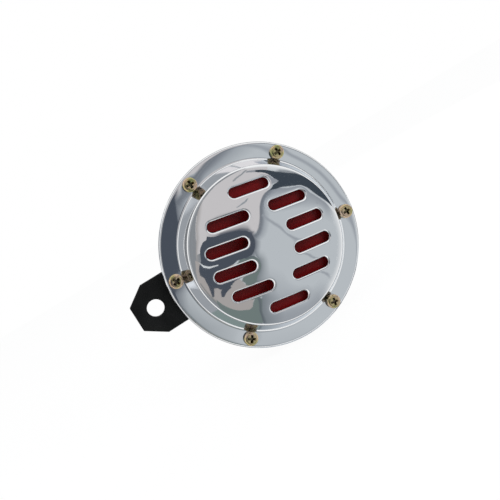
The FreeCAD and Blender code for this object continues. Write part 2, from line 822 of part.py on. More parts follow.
for name, shape in NODES.items():
    solids = shape if isinstance(shape, list) else [shape]
    body = Part.makeCompound([solid for piece in solids for solid in piece.Solids])
    body.exportStep("parts/" + name + ".step")
    print(name, len(body.Solids), body.isValid(), round(body.Volume, 2))
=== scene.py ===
"""Looks of a disc car horn: chrome slotted cover, red tone disc, black bowl and bracket.

Laid out as an add-on: settings, one operator for each group of pieces and for the stage, a panel.
The horn faces -Y in the part's frame. Sizes are in millimetres, from the horn's axis in X and Z.
"""
import math
from contextlib import contextmanager

import bmesh
import bpy
from mathutils import Matrix, Vector


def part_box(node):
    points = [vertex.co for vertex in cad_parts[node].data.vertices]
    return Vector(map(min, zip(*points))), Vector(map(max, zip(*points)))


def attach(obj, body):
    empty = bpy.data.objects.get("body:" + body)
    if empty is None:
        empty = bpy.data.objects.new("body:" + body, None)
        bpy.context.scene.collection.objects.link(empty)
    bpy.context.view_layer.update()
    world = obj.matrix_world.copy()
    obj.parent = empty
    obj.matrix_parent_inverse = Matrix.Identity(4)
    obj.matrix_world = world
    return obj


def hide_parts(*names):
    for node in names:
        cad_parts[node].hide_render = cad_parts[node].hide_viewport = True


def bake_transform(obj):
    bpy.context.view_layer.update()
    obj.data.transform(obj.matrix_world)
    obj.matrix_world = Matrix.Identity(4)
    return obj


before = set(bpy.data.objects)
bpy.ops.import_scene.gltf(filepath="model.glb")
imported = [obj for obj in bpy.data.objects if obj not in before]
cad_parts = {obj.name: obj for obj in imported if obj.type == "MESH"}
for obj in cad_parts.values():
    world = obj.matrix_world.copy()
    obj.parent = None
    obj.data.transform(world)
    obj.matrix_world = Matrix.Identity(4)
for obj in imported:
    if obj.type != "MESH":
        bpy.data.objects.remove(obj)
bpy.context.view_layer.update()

bl_info = {
    "name": "Disc horn",
    "version": (1, 0, 0),
    "blender": (4, 5, 0),
    "location": "View3D > Sidebar > Horn",
    "description": "Dresses the packed disc horn for rendering",
    "category": "Object",
}

MM = 0.001
COVER_LOW, COVER_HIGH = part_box("grille_cover")
AXIS_X = (COVER_LOW[0] + COVER_HIGH[0]) / 2
RIM = (COVER_HIGH[0] - COVER_LOW[0]) / 2
HEM_Y = COVER_HIGH[1]
# Two points nearer than this, in metres, are one
SAME = 1e-7

# The cover and its screws, as the CAD has them
SHEET = 0.8
FLANGE_FRONT = -15.5
SHOULDER = (37.6, -23.5)
FOOT = (41.4, FLANGE_FRONT)
DOME = 84.0
DOME_CENTRE = SHOULDER[1] + math.sqrt(DOME ** 2 - SHOULDER[0] ** 2)
PATCH = 36.0
SLOT_LENGTH, SLOT_WIDTH, SLOT_REACH, SLOT_TURN = 19.3, 4.7, 29.7, -10.8
SCREW_RADIUS, SCREW_HOLE = 45.3, 2.25
SCREW_ANGLES = [-9.4 + 60 * k for k in range(6)]
SHELL_BACK = -11.5
NUT_SEAT = SHELL_BACK + 0.9
SCREW_END = NUT_SEAT + 3.2 + 1.2

# What the finish adds: how far each slot's lip reaches, the flange's crown, its dip at the screws
LIP_MARGIN = 2.4
CROWN = 0.12
SCREW_DIP, DIP_REACH = 0.14, 4.5
# How the flange leans, in degrees every 30 from +X: at its foot and at the rim
LEAN_INNER = (-1.3, -2.0, -2.0, -1.6, -1.7, 2.2, -1.8, -1.2, 1.6, 3.0, 1.2, -0.8)
LEAN_OUTER = (3.6, 3.1, 3.4, 2.0, 2.2, 5.6, 0.2, -0.4, 5.0, 8.2, 7.4, 5.0)
# How far each rim screw's recess is turned, and its colours: painted shade in the recess, and
# painted shade where the cover mirrors the screw
RECESS_TURNS = (12, 47, 70, 33, 5, 58)
RECESS_SHADE, MIRROR_SHADE_COLOUR, MIRROR_SHADE_SHARE = (0.085, 0.07, 0.042), (0.03, 0.022, 0.014), 0.72
SPIN_STEPS, THREAD_STEPS = 240, 24


def settings():
    """The values that a user may change in the sidebar."""
    return bpy.context.scene.horn_settings


# Modelling helpers


def at(x=0.0, z=0.0, y=0.0):
    """A place in the frame, by millimetres from the horn's axis and along it."""
    return Vector((AXIS_X + x * MM, y * MM, z * MM))


def linked(name, data):
    """A new object in the scene."""
    obj = bpy.data.objects.new(name, data)
    bpy.context.scene.collection.objects.link(obj)
    return obj


def clear_selection():
    """Leaves edit mode with nothing selected."""
    if bpy.context.object and bpy.context.object.mode != "OBJECT":
        bpy.ops.object.mode_set(mode="OBJECT")
    bpy.ops.object.select_all(action="DESELECT")


def only(obj):
    """Selects one object alone and makes it active."""
    clear_selection()
    obj.select_set(True)
    bpy.context.view_layer.objects.active = obj
    return obj


@contextmanager
def editing(obj):
    """Edit mode for one object."""
    only(obj)
    bpy.ops.object.mode_set(mode="EDIT")
    yield
    bpy.ops.object.mode_set(mode="OBJECT")


def for_all(operator, **values):
    """Runs an operator on the whole mesh in edit mode."""
    bpy.ops.mesh.select_all(action="SELECT")
    operator(**values)


def select_vertices(obj, test):
    """Selects the vertices that pass a test, in edit mode."""
    mesh = bmesh.from_edit_mesh(obj.data)
    for vertex in mesh.verts:
        vertex.select_set(test(vertex))
    mesh.select_flush_mode()
    bmesh.update_edit_mesh(obj.data)


def place_in_mesh(obj):
    """Puts the object's place into its mesh, so that the object sits at the origin."""
    only(obj)
    bpy.ops.object.transform_apply(location=True, rotation=True, scale=True)
    return obj


def added(name):
    """Names the object just added and puts its place into its mesh."""
    bpy.context.object.name = name
    return place_in_mesh(bpy.context.object)


def chain(name, places):
    """A new mesh of edges from place to place, in edit mode."""
    clear_selection()
    bpy.ops.mesh.primitive_plane_add(size=MM)
    bpy.context.object.name = name
    bpy.ops.object.mode_set(mode="EDIT")
    bpy.ops.mesh.merge(type="CENTER")
    bpy.ops.transform.translate(value=places[0])
    for here, there in zip(places, places[1:]):
        bpy.ops.mesh.extrude_vertices_move(TRANSFORM_OT_translate={"value": there - here})
    return bpy.context.object


def rounded(corners, radii, segments=6):
    """Corners of a half section with each inner corner turned into an arc."""
    points = [Vector(corners[0])]
    for before, corner, after, radius in zip(corners, corners[1:], corners[2:], radii):
        here = Vector(corner)
        if radius == 0:
            points.append(here)
            continue
        back = (Vector(before) - here).normalized()
        ahead = (Vector(after) - here).normalized()
        half = back.angle(ahead) / 2
        centre = here + (back + ahead).normalized() * (radius / math.sin(half))
        first = here + back * (radius / math.tan(half)) - centre
        last = here + ahead * (radius / math.tan(half)) - centre
        sweep = first.angle_signed(last)
        for step in range(segments + 1):
            points.append(centre + Matrix.Rotation(-sweep * step / segments, 2) @ first)
    points.append(Vector(corners[-1]))
    return points


def lathe(name, section, steps=96, closed=True, x=0.0, z=0.0):
    """Spins a half section, given as radius and place along the axis."""
    axis = at(x, z)
    places = [axis + Vector((radius * MM, y * MM, 0)) for radius, y in section]
    if closed and (places[0] - places[-1]).length > SAME:
        places.append(places[0])
    obj = chain(name, places)
    for_all(bpy.ops.mesh.remove_doubles, threshold=SAME)
    for_all(bpy.ops.mesh.spin, steps=steps, angle=2 * math.pi, center=axis, axis=(0, 1, 0))
    for_all(bpy.ops.mesh.remove_doubles, threshold=2 * SAME)
    for_all(bpy.ops.mesh.normals_make_consistent, inside=False)
    bpy.ops.object.mode_set(mode="OBJECT")
    return place_in_mesh(obj)


def ring(name, outer, inner, start, end, rounds, steps, x=0.0, z=0.0):
    """A flat ring by its two diameters, with rounded corners."""
    corners = [(inner / 2, start), (outer / 2, start), (outer / 2, end), (inner / 2, end),
               (inner / 2, start)]
    return lathe(name, rounded(corners, rounds, 3), steps, x=x, z=z)


def from_node(node, name):
    """A merged copy of a CAD node's mesh, to be finished by hand."""
    obj = linked(name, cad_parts[node].data.copy())
    obj.data.materials.clear()
    with editing(obj):
        for_all(bpy.ops.mesh.remove_doubles, threshold=1e-6)
        for_all(bpy.ops.mesh.customdata_custom_splitnormals_clear)
        bpy.ops.mesh.dissolve_limited(angle_limit=math.radians(1.0))
    return obj


def rod(name, radius, start, end, x=0.0, z=0.0, vertices=48):
    """A plain bar parallel to the horn's axis."""
    clear_selection()
    bpy.ops.mesh.primitive_cylinder_add(
        vertices=vertices, radius=radius * MM, depth=(end - start) * MM,
        location=at(x, z, (start + end) / 2), rotation=(math.pi / 2, 0, 0))
    return added(name)


def box(name, low, high):
    """A block between two corners."""
    clear_selection()
    bpy.ops.mesh.primitive_cube_add(size=1)
    obj = bpy.context.object
    obj.location = [(a + b) / 2 * MM for a, b in zip(low, high)]
    obj.location.x += AXIS_X
    obj.scale = [(b - a) * MM for a, b in zip(low, high)]
    return added(name)


def joined(objects):
    """Joins the objects into the first one."""
    only(objects[0])
    for obj in objects:
        obj.select_set(True)
    if len(objects) > 1:
        bpy.ops.object.join()
    return objects[0]


def copied(obj, name):
    """A copy with its own mesh."""
    only(obj)
    bpy.ops.object.duplicate()
    bpy.context.object.name = name
    return bpy.context.object


def turn_mesh(obj, angle, x=0.0, z=0.0, y=0.0, axis=(0, -1, 0)):
    """Turns a mesh about a place, anticlockwise from the front unless an axis is given."""
    about = at(x, z, y)
    turn = Matrix.Rotation(math.radians(angle), 4, Vector(axis))
    obj.data.transform(Matrix.Translation(about) @ turn @ Matrix.Translation(-about))
    return obj


def remove(objects):
    """Deletes helper objects."""
    for obj in objects:
        bpy.data.objects.remove(obj, do_unlink=True)


def modify(obj, kind, **values):
    """Applies a modifier with these values."""
    only(obj)
    bpy.ops.object.modifier_add(type=kind)
    modifier = obj.modifiers[-1]
    for name, value in values.items():
        setattr(modifier, name, value)
    bpy.ops.object.modifier_apply(modifier=modifier.name)
    return obj


def cut(obj, cutter, operation="DIFFERENCE"):
    """Cuts one shape from another and deletes the cutter."""
    modify(obj, "BOOLEAN", operation=operation, object=cutter, solver="EXACT")
    remove([cutter])
    return obj


def soften(obj, width, segments=2, angle=35):
    """Bevels the sharp edges, as a press or a deburring wheel leaves them."""
    return modify(obj, "BEVEL", width=width * MM, segments=segments, limit_method="ANGLE",
                  angle_limit=math.radians(angle))


def shade(obj, angle=35):
    """Smooth shading, with edges sharper than the angle kept."""
    only(obj)
    bpy.ops.object.shade_smooth_by_angle(angle=math.radians(angle))
    return obj


def coat(obj, slot):
    """Gives a mesh the material of its slot."""
    obj.data.materials.clear()
    obj.data.materials.append(MATERIALS[slot]())


def finish(obj, body, slot, *nodes):
    """Gives a piece its material and its body, and hides the CAD nodes that it stands for."""
    coat(obj, slot)
    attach(obj, body)
    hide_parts(*nodes)


def finish_flexing(obj, slot, node):
    """For a piece that bends between the two bodies: gives it its material, puts its place into its
    mesh and hides its CAD node, without a body.
    """
    coat(obj, slot)
    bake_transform(obj)
    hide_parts(node)


def finish_plain(rows):
    """Finishes CAD shapes that only need softer edges: node, slot and width of the bevel."""
    for node, slot, width in rows:
        piece = soften(from_node(node, node + "_finished"), width, 2, 50)
        finish(shade(piece), "horn", slot, node)


def keep_node(node, slot):
    """A CAD node whose shape is right keeps it and gets the better material."""
    coat(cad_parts[node], slot)


# Materials


def set_values(node, values):
    """Sets a node's inputs by name, with an underscore for each space."""
    for name, value in values.items():
        node.inputs[name.replace("_", " ")].default_value = value
    return node


def add_node(tree, kind, operation=None, **values):
    """A shader node with its values."""
    node = tree.nodes.new("ShaderNode" + kind)
    if operation:
        node.operation = operation
    return set_values(node, values)


def wire(tree, *links):
    """Links nodes: each link is a node and its output, then a node and its input."""
    for start, outlet, end, inlet in links:
        tree.links.new(start.outputs[outlet], end.inputs[inlet])


def group(name, outlet, kind, **inlets):
    """A node group with one output, and inputs with their defaults; also gives its two ends."""
    tree = bpy.data.node_groups.new(name, "ShaderNodeTree")
    for label, default in inlets.items():
        socket_type = "NodeSocketVector" if isinstance(default, tuple) else "NodeSocketFloat"
        socket = tree.interface.new_socket(name=label, in_out="INPUT", socket_type=socket_type)
        socket.default_value = default
    tree.interface.new_socket(name=outlet, in_out="OUTPUT", socket_type=kind)
    return tree, tree.nodes.new("NodeGroupInput"), tree.nodes.new("NodeGroupOutput")


def smudges():
    """Shared effect: soft handling marks, as a mask from clean to marked."""
    if "Handling marks" in bpy.data.node_groups:
        return bpy.data.node_groups["Handling marks"]
    tree, start, end = group("Handling marks", "Value", "NodeSocketFloat", Scale=60.0, Low=0.0,
                             High=1.0)
    noise = add_node(tree, "TexNoise", Detail=5.0, Distortion=0.6)
    spread = add_node(tree, "MapRange", From_Min=0.35, From_Max=0.7)
    wire(tree, (add_node(tree, "TexCoord"), "Object", noise, "Vector"),
         (start, "Scale", noise, "Scale"), (noise, "Fac", spread, "Value"),
         (start, "Low", spread, "To Min"), (start, "High", spread, "To Max"),
         (spread, "Result", end, "Value"))
    return tree


def grain():
    """Shared effect: a fine relief of the finish, as a normal."""
    if "Fine relief" in bpy.data.node_groups:
        return bpy.data.node_groups["Fine relief"]
    tree, start, end = group("Fine relief", "Normal", "NodeSocketVector", Scale=900.0,
                             Strength=0.1, Depth=0.00005, Stretch=(1.0, 1.0, 1.0))
    stretch = add_node(tree, "VectorMath", "MULTIPLY")
    noise = add_node(tree, "TexNoise", Detail=3.0)
    bump = add_node(tree, "Bump")
    wire(tree, (add_node(tree, "TexCoord"), "Object", stretch, 0), (start, "Stretch", stretch, 1),
         (stretch, "Vector", noise, "Vector"), (start, "Scale", noise, "Scale"),
         (noise, "Fac", bump, "Height"), (start, "Strength", bump, "Strength"),
         (start, "Depth", bump, "Distance"), (bump, "Normal", end, "Normal"))
    return tree


def place_group(tree, effect, **values):
    """One of the shared effects in a material, with its own values."""
    node = tree.nodes.new("ShaderNodeGroup")
    node.node_tree = effect
    return set_values(node, values)


def spread_colour(tree, scale, colours, places=(0.3, 0.7)):
    """Feeds the base colour from a soft noise through a few colours."""
    noise = add_node(tree, "TexNoise", Scale=scale, Detail=3.0)
    ramp = add_node(tree, "ValToRGB")
    ramp.name = "Colour spread"
    stops = ramp.color_ramp.elements
    while len(stops) < len(colours):
        stops.new(0.5)
    for stop, place, colour in zip(stops, places, colours):
        stop.position = place
        stop.color = (*colour, 1.0)
    wire(tree, (add_node(tree, "TexCoord"), "Object", noise, "Vector"), (noise, "Fac", ramp, "Fac"),
         (ramp, "Color", tree.nodes["Principled BSDF"], "Base Color"))


def finish_material(name, colour, metallic, rough, relief, marks, spread=None,
                    stretch=(1.0, 1.0, 1.0), **sockets):
    """A finish with handling marks in its roughness, a fine relief and a spread of colour.

    The relief is its scale, strength and depth; the spread is its scale, colours and places.
    """
    if name in bpy.data.materials:
        return bpy.data.materials[name]
    material = bpy.data.materials.new(name)
    material.use_nodes = True
    tree = material.node_tree
    shader = tree.nodes["Principled BSDF"]
    set_values(shader, {"Base_Color": (*colour, 1.0), "Metallic": metallic, **sockets})
    wear = place_group(tree, smudges(), Scale=marks, Low=rough[0], High=rough[1])
    texture = place_group(tree, grain(), Scale=relief[0], Strength=relief[1], Depth=relief[2],
                          Stretch=stretch)
    wire(tree, (wear, "Value", shader, "Roughness"), (texture, "Normal", shader, "Normal"))
    if spread:
        spread_colour(tree, *spread)
    return material


def mix_towards(tree, colour):
    """A colour mix whose second colour is set."""
    mix = tree.nodes.new("ShaderNodeMix")
    mix.data_type = "RGBA"
    mix.inputs[7].default_value = (*colour, 1.0)
    return mix


def paint_screw_shade(material):
    """Painted shade in a screw's recess, by the piece's own attribute, and a darker colour painted
    for reflections.
    """
    tree = material.node_tree
    if "Recess dirt" in tree.nodes:
        return material
    # Painted shade: the attribute "recess" darkens the recess towards a shade colour
    depth = add_node(tree, "Attribute")
    depth.name, depth.attribute_name = "Recess dirt", "recess"
    recess_shaded, mirror_shaded = mix_towards(tree, RECESS_SHADE), mix_towards(tree, MIRROR_SHADE_COLOUR)
    # Painted shade in reflections: rays from a mirror see the screw darker, by this share
    share = add_node(tree, "Math", "MULTIPLY")
    share.inputs[1].default_value = MIRROR_SHADE_SHARE
    wire(tree, (depth, "Fac", recess_shaded, 0), (tree.nodes["Colour spread"], "Color", recess_shaded, 6),
         (add_node(tree, "LightPath"), "Is Glossy Ray", share, 0), (share, "Value", mirror_shaded, 0),
         (recess_shaded, 2, mirror_shaded, 6), (mirror_shaded, 2, tree.nodes["Principled BSDF"], "Base Color"))
    return material


def chrome_plate():
    """Bright chrome plate, faintly wavy as pressed sheet is."""
    return finish_material("Chrome plate", tuple(settings().chrome_colour), 1.0, (0.025, 0.06),
                           (160.0, 0.12, 0.00003), 90.0)


def yellow_zinc():
    """Yellow passivated zinc: gold with green and pink casts, with painted shade in the screw
    recesses and in reflections.
    """
    casts = ((0.38, 0.40, 0.17), (0.62, 0.50, 0.25), (0.74, 0.54, 0.41), (0.50, 0.35, 0.17))
    return paint_screw_shade(finish_material(
        "Yellow zinc", (0.42, 0.32, 0.16), 1.0, (0.12, 0.26), (1500.0, 0.15, 0.00002), 400.0,
        (260.0, casts, (0.3, 0.45, 0.58, 0.72))))


def red_paint():
    """Dark red gloss over the tone disc."""
    return finish_material("Red paint", (0.13, 0.004, 0.005), 0.0, (0.24, 0.34),
                           (600.0, 0.04, 0.00002), 60.0,
                           (50.0, ((0.12, 0.003, 0.004), (0.135, 0.004, 0.005))),
                           Specular_IOR_Level=0.1)


def black_paint():
    """Satin black paint with a slight orange peel."""
    return finish_material("Black paint", (0.006, 0.006, 0.006), 0.0, (0.34, 0.5),
                           (700.0, 0.25, 0.00005), 70.0,
                           (90.0, ((0.0035, 0.0037, 0.0035), (0.0075, 0.0078, 0.0075))),
                           Specular_IOR_Level=0.2)


def bright_steel():
    """Clear zinc on small steel pieces."""
    return finish_material("Bright steel", (0.56, 0.57, 0.58), 1.0, (0.26, 0.36),
                           (1400.0, 0.15, 0.00002), 300.0,
                           (220.0, ((0.56, 0.57, 0.59), (0.62, 0.62, 0.62))))


def spring_steel():
    """Cold rolled spring steel with its rolling lines along X."""
    return finish_material("Spring steel", (0.42, 0.43, 0.45), 1.0, (0.25, 0.4),
                           (900.0, 0.2, 0.00003), 150.0,
                           (80.0, ((0.38, 0.40, 0.44), (0.47, 0.46, 0.45))), (0.05, 1.0, 1.0))


def fibre():
    """Pressed fibre, brown and matt."""
    return finish_material("Pressed fibre", (0.16, 0.09, 0.055), 0.0, (0.75, 0.95),
                           (1200.0, 0.6, 0.00008), 200.0,
                           (900.0, ((0.11, 0.06, 0.04), (0.21, 0.12, 0.075))))


def bobbin_plastic():
    """Natural moulding of the spool."""
    return finish_material("Spool moulding", (0.62, 0.56, 0.42), 0.0, (0.4, 0.6),
                           (800.0, 0.15, 0.00003), 120.0,
                           (120.0, ((0.58, 0.52, 0.38), (0.66, 0.60, 0.46))))


def copper_wire():
    """Enamelled copper wire, amber over copper."""
    return finish_material("Enamelled wire", (0.50, 0.16, 0.06), 1.0, (0.18, 0.32),
                           (1600.0, 0.1, 0.00002), 350.0,
                           (300.0, ((0.42, 0.12, 0.045), (0.58, 0.21, 0.08))),
                           Coat_Weight=0.6, Coat_Roughness=0.12)


def contact_silver():
    """Bare contact metal, dulled where it works."""
    return finish_material("Contact metal", (0.78, 0.77, 0.74), 1.0, (0.3, 0.5),
                           (1500.0, 0.2, 0.00002), 500.0,
                           (500.0, ((0.68, 0.67, 0.64), (0.82, 0.81, 0.78))))


def terminal_brass():
    """Bright brass of the terminals and the fixed arm."""
    return finish_material("Terminal brass", (0.72, 0.50, 0.20), 1.0, (0.18, 0.36),
                           (900.0, 0.2, 0.00002), 200.0,
                           (160.0, ((0.64, 0.43, 0.16), (0.78, 0.57, 0.25))), (1.0, 0.05, 1.0))


def terminal_resin():
    """Dark moulded resin under the terminals."""
    return finish_material("Moulded resin", (0.045, 0.022, 0.014), 0.0, (0.35, 0.55),
                           (900.0, 0.2, 0.00004), 110.0,
                           (200.0, ((0.035, 0.017, 0.011), (0.055, 0.028, 0.018))))


MATERIALS = {
    "chrome_plate": chrome_plate, "yellow_zinc": yellow_zinc, "red_paint": red_paint,
    "black_paint": black_paint, "bright_steel": bright_steel, "spring_steel": spring_steel,
    "fibre": fibre, "bobbin_plastic": bobbin_plastic, "copper_wire": copper_wire,
    "contact_silver": contact_silver, "terminal_brass": terminal_brass,
    "terminal_resin": terminal_resin,
}


# The cover


def slot_lines():
    """The middle line of each slot's bar: two ends in the cover's plane, from the axis."""
    pitch = math.sqrt(SLOT_REACH ** 2 - (SLOT_LENGTH / 2) ** 2) / 2.5
    turn = Matrix.Rotation(math.radians(SLOT_TURN), 2)
    run = SLOT_LENGTH - SLOT_WIDTH
    lines = []
    for row in range(6):
        v = (row - 2.5) * pitch
        if row in (0, 5):
            starts = [-run / 2]
        else:
            reach = math.sqrt(SLOT_REACH ** 2 - v ** 2) - SLOT_WIDTH / 2
            starts = [reach - run, -reach]
        for u in starts:
            lines.append((turn @ Vector((u, v)), turn @ Vector((u + run, v))))
    return lines


def nearest_on(line, point):
    """The nearest place on a slot's middle line."""
    start, end = line
    along = (point - start).dot(end - start) / (end - start).length_squared
    return start + (end - start) * min(1.0, max(0.0, along))


def slot_gaps(point, lines):
    """How far a point is from the edge of each slot."""
    return [(point - nearest_on(line, point)).length - SLOT_WIDTH / 2 for line in lines]


def sink(point, lines):
    """How far the sheet is drawn in round the punched slots."""
    width, fade = 1.6, 2.5
    total = sum(math.exp(-max(0.0, gap) / width) for gap in slot_gaps(point, lines))
    edge = min(1.0, max(0.0, (PATCH - point.length) / fade))
    return settings().slot_draw / MM * total * edge * edge * (3 - 2 * edge)


def dome(square, radius=DOME):
    """Where the dome stands along the axis, by the square of the distance from the axis."""
    return DOME_CENTRE - math.sqrt(max(0.0, radius ** 2 - square))


def in_plane(vertex):
    """A vertex's place in the cover's plane, from the axis, in millimetres."""
    return Vector(((vertex.co.x - AXIS_X) / MM, vertex.co.z / MM))


def put(vertex, point, y):
    """Moves a vertex to a place in the cover's plane and along the axis."""
    vertex.co = Vector((AXIS_X + point.x * MM, y * MM, point.y * MM))


def slot_bars(lines, grow):
    """Bars that punch the slots, grown by a margin, as one object."""
    past = 1e-4
    bars = []
    for start, end in lines:
        bar = rod("punch", SLOT_WIDTH / 2 + grow, -60.0, 0.0, start.x, start.y)
        along = (end - start).normalized()
        middle = start + along * past
        direction = Vector((along.x, 0, along.y))
        with editing(bar):
            for_all(bpy.ops.mesh.bisect, plane_co=at(middle.x, middle.y), plane_no=direction)
            select_vertices(bar, lambda vertex: (in_plane(vertex) - start).dot(along) > past / 2)
            bpy.ops.transform.translate(value=direction * (end - start).length * MM)
        bars.append(bar)
    return joined(bars)


def slotted_patch(lines):
    """The middle of the dome with its slots: front skin, rolled lips, walls and back skin."""
    rings, back, off_skin = 30, -12.0, 0.05
    section = [(r, dome(r * r)) for r in [PATCH * step / rings for step in range(rings + 1)]]
    blank = lathe("patch", section + [(PATCH, back), (0.0, back)], SPIN_STEPS)
    cut(blank, slot_bars(lines, LIP_MARGIN))
    with editing(blank):
        bpy.ops.mesh.select_mode(type="VERT")
        select_vertices(blank, lambda vertex: abs(
            vertex.co.y / MM - dome(in_plane(vertex).length_squared)) > off_skin)
        bpy.ops.mesh.delete(type="VERT")
        split_skins(blank)
        roll_lips(blank, lines)
        settle_skins(blank, lines)
    return blank


def split_skins(patch):
    """Adds a back skin, marked in the layer "back", and selects the front's edges at the holes."""
    mesh = bmesh.from_edit_mesh(patch.data)
    for face in mesh.faces:
        face.select_set(True)
    bmesh.update_edit_mesh(patch.data)
    bpy.ops.mesh.duplicate()
    bpy.ops.mesh.flip_normals()
    mesh = bmesh.from_edit_mesh(patch.data)
    layer = mesh.verts.layers.int.new("back")
    for vertex in mesh.verts:
        vertex[layer] = int(vertex.select)
    bmesh.update_edit_mesh(patch.data)
    bpy.ops.mesh.select_all(action="DESELECT")
    mesh = bmesh.from_edit_mesh(patch.data)
    layer = mesh.verts.layers.int["back"]
    for edge in mesh.edges:
        inner = all(in_plane(vertex).length < PATCH - 0.5 for vertex in edge.verts)
        front = all(vertex[layer] == 0 for vertex in edge.verts)
        edge.select_set(edge.is_boundary and inner and front)
    bmesh.update_edit_mesh(patch.data)


def lip_profile():
    """A lip from the front skin to the back one: distance from the slot, drop and dome radius."""
    lip = settings().slot_lip / MM
    back = DOME - SHEET
    roll = ((1.2, 0.0), (1.1, 0.01), (1.0, 0.05), (0.82, 0.17), (0.6, 0.345), (0.38, 0.55),
            (0.18, 0.78), (0.06, 0.97), (0.0, 1.2))
    return [*((gap, 0.0, DOME) for gap in (2.0, 1.6, 1.3)),
            *((lip * across, lip * down, DOME) for across, down in roll),
            (0.0, lip + 0.3, DOME), (0.1, lip + 0.4, DOME), (0.6, lip + 0.4, DOME),
            (0.7, lip + 0.25, DOME), (0.95, 0.0, back), (1.6, 0.0, back), (LIP_MARGIN, 0.0, back)]


def roll_lips(patch, lines):
    """Draws each hole's edge in to the slot, rolls it over and takes it back underneath."""
    for gap, drop, radius in lip_profile():
        bpy.ops.mesh.extrude_edges_move()
        mesh = bmesh.from_edit_mesh(patch.data)
        layer = mesh.verts.layers.int["back"]
        for vertex in mesh.verts:
            if not vertex.select:
                continue
            vertex[layer] = 2
            point = in_plane(vertex)
            middle = min((nearest_on(line, point) for line in lines),
                         key=lambda place: (point - place).length)
            spot = middle + (point - middle).normalized() * (SLOT_WIDTH / 2 + gap)
            put(vertex, spot, dome(spot.length_squared, radius) + sink(spot, lines) + drop)
        bmesh.update_edit_mesh(patch.data)


def settle_skins(patch, lines):
    """Draws both skins in round the slots and joins them to the lips."""
    mesh = bmesh.from_edit_mesh(patch.data)
    layer = mesh.verts.layers.int["back"]
    for vertex in mesh.verts:
        if vertex[layer] == 2:
            continue
        point = in_plane(vertex)
        gaps = slot_gaps(point, lines)
        if min(gaps) < LIP_MARGIN + 0.03:
            middle = nearest_on(lines[gaps.index(min(gaps))], point)
            point = middle + (point - middle).normalized() * (SLOT_WIDTH / 2 + LIP_MARGIN)
        skin = dome(point.length_squared, DOME - SHEET * vertex[layer])
        put(vertex, point, skin + sink(point, lines))
    bmesh.update_edit_mesh(patch.data)
    for_all(bpy.ops.mesh.remove_doubles, threshold=2e-6)


def cover_rim():
    """The rest of the cover: shoulder, wall, flange falling back to the rolled rim, and skirt."""
    rim, hem = RIM / MM, HEM_Y / MM
    slope = math.atan2(FOOT[1] - SHOULDER[1], FOOT[0] - SHOULDER[0])
    wall = Vector((math.cos(slope), math.sin(slope)))
    foot = Vector((FOOT[0] - SHEET * math.tan(slope / 2), FLANGE_FRONT + SHEET))
    lever = foot - Vector((0, DOME_CENTRE))
    along = lever.dot(wall)
    back_dome = DOME - SHEET
    shoulder = foot - wall * (along + math.sqrt(along ** 2 - lever.length_squared + back_dome ** 2))
    face = FLANGE_FRONT - CROWN
    crown = [(FOOT[0] + 0.6 * step, face) for step in range(1, 12)]
    front = [(PATCH, dome(PATCH ** 2)), SHOULDER, (FOOT[0], face), *crown, (rim, face), (rim, hem)]
    back = [(rim - SHEET, hem), (rim - SHEET, FLANGE_FRONT + SHEET + 0.15), foot, shoulder,
            (PATCH, dome(PATCH ** 2, back_dome))]
    radii = [2.2, 1.4] + [0] * len(crown) + [1.4, 0.15, 0.15, 1.2, 2.3, 0.6]
    shape = lathe("rim", rounded(front + back, radii, 10), SPIN_STEPS, closed=False)
    lean_flange(shape, face)
    return shape


def between(values, angle):
    """A smooth value at an angle in degrees, from values evenly spaced round the circle."""
    count = len(values)
    place = angle % 360 / 360 * count
    first, share = int(place), place - int(place)
    a, b, c, d = (values[(first + k) % count] for k in (-1, 0, 1, 2))
    bend = 2 * a - 5 * b + 4 * c - d + share * (3 * (b - c) + d - a)
    return b + 0.5 * share * (c - a + share * bend)


def lean_flange(shape, face):
    """Lets the flange fall back to the rim and dips it round the screws, as tightening does."""
    wide = RIM / MM - FOOT[0]
    skin_depth = 0.95
    turns = [math.radians(angle) for angle in SCREW_ANGLES]
    screws = [SCREW_RADIUS * Vector((math.cos(turn), math.sin(turn))) for turn in turns]
    for vertex in shape.data.vertices:
        point = in_plane(vertex)
        height = vertex.co.y / MM
        if point.length < FOOT[0] or height > face + skin_depth:
            continue
        angle = math.degrees(math.atan2(point.y, point.x))
        share = min(1.0, (point.length - FOOT[0]) / wide)
        inner, outer = between(LEAN_INNER, angle), between(LEAN_OUTER, angle)
        fall = wide * math.radians(1) * (inner * share + (outer - inner) * share * share / 2)
        for screw in screws:
            fall += SCREW_DIP * math.exp(-((point - screw).length / DIP_REACH) ** 2)
        put(vertex, point, height + fall)


def drill_rim(obj, back, vertices):
    """Cuts the six screw holes through the rim."""
    before_flange = -18.0
    hole = rod("hole", SCREW_HOLE, before_flange, back, SCREW_RADIUS, 0.0, vertices)
    holes = [turn_mesh(copied(hole, "hole"), angle) for angle in SCREW_ANGLES]
    remove([hole])
    cut(obj, joined(holes))


class HORN_OT_cover(bpy.types.Operator):
    """Model the chrome cover with its ten slots"""

    bl_idname = "horn.cover"
    bl_label = "Cover"

    def execute(self, context):
        cover = joined([cover_rim(), slotted_patch(slot_lines())])
        cover.name = "cover"
        with editing(cover):
            for_all(bpy.ops.mesh.remove_doubles, threshold=4e-6)
            for_all(bpy.ops.mesh.normals_make_consistent, inside=False)
        drill_rim(cover, -13.0, 32)
        finish(shade(cover, 32), "horn", "chrome_plate", "grille_cover")
        return {"FINISHED"}


# Fasteners


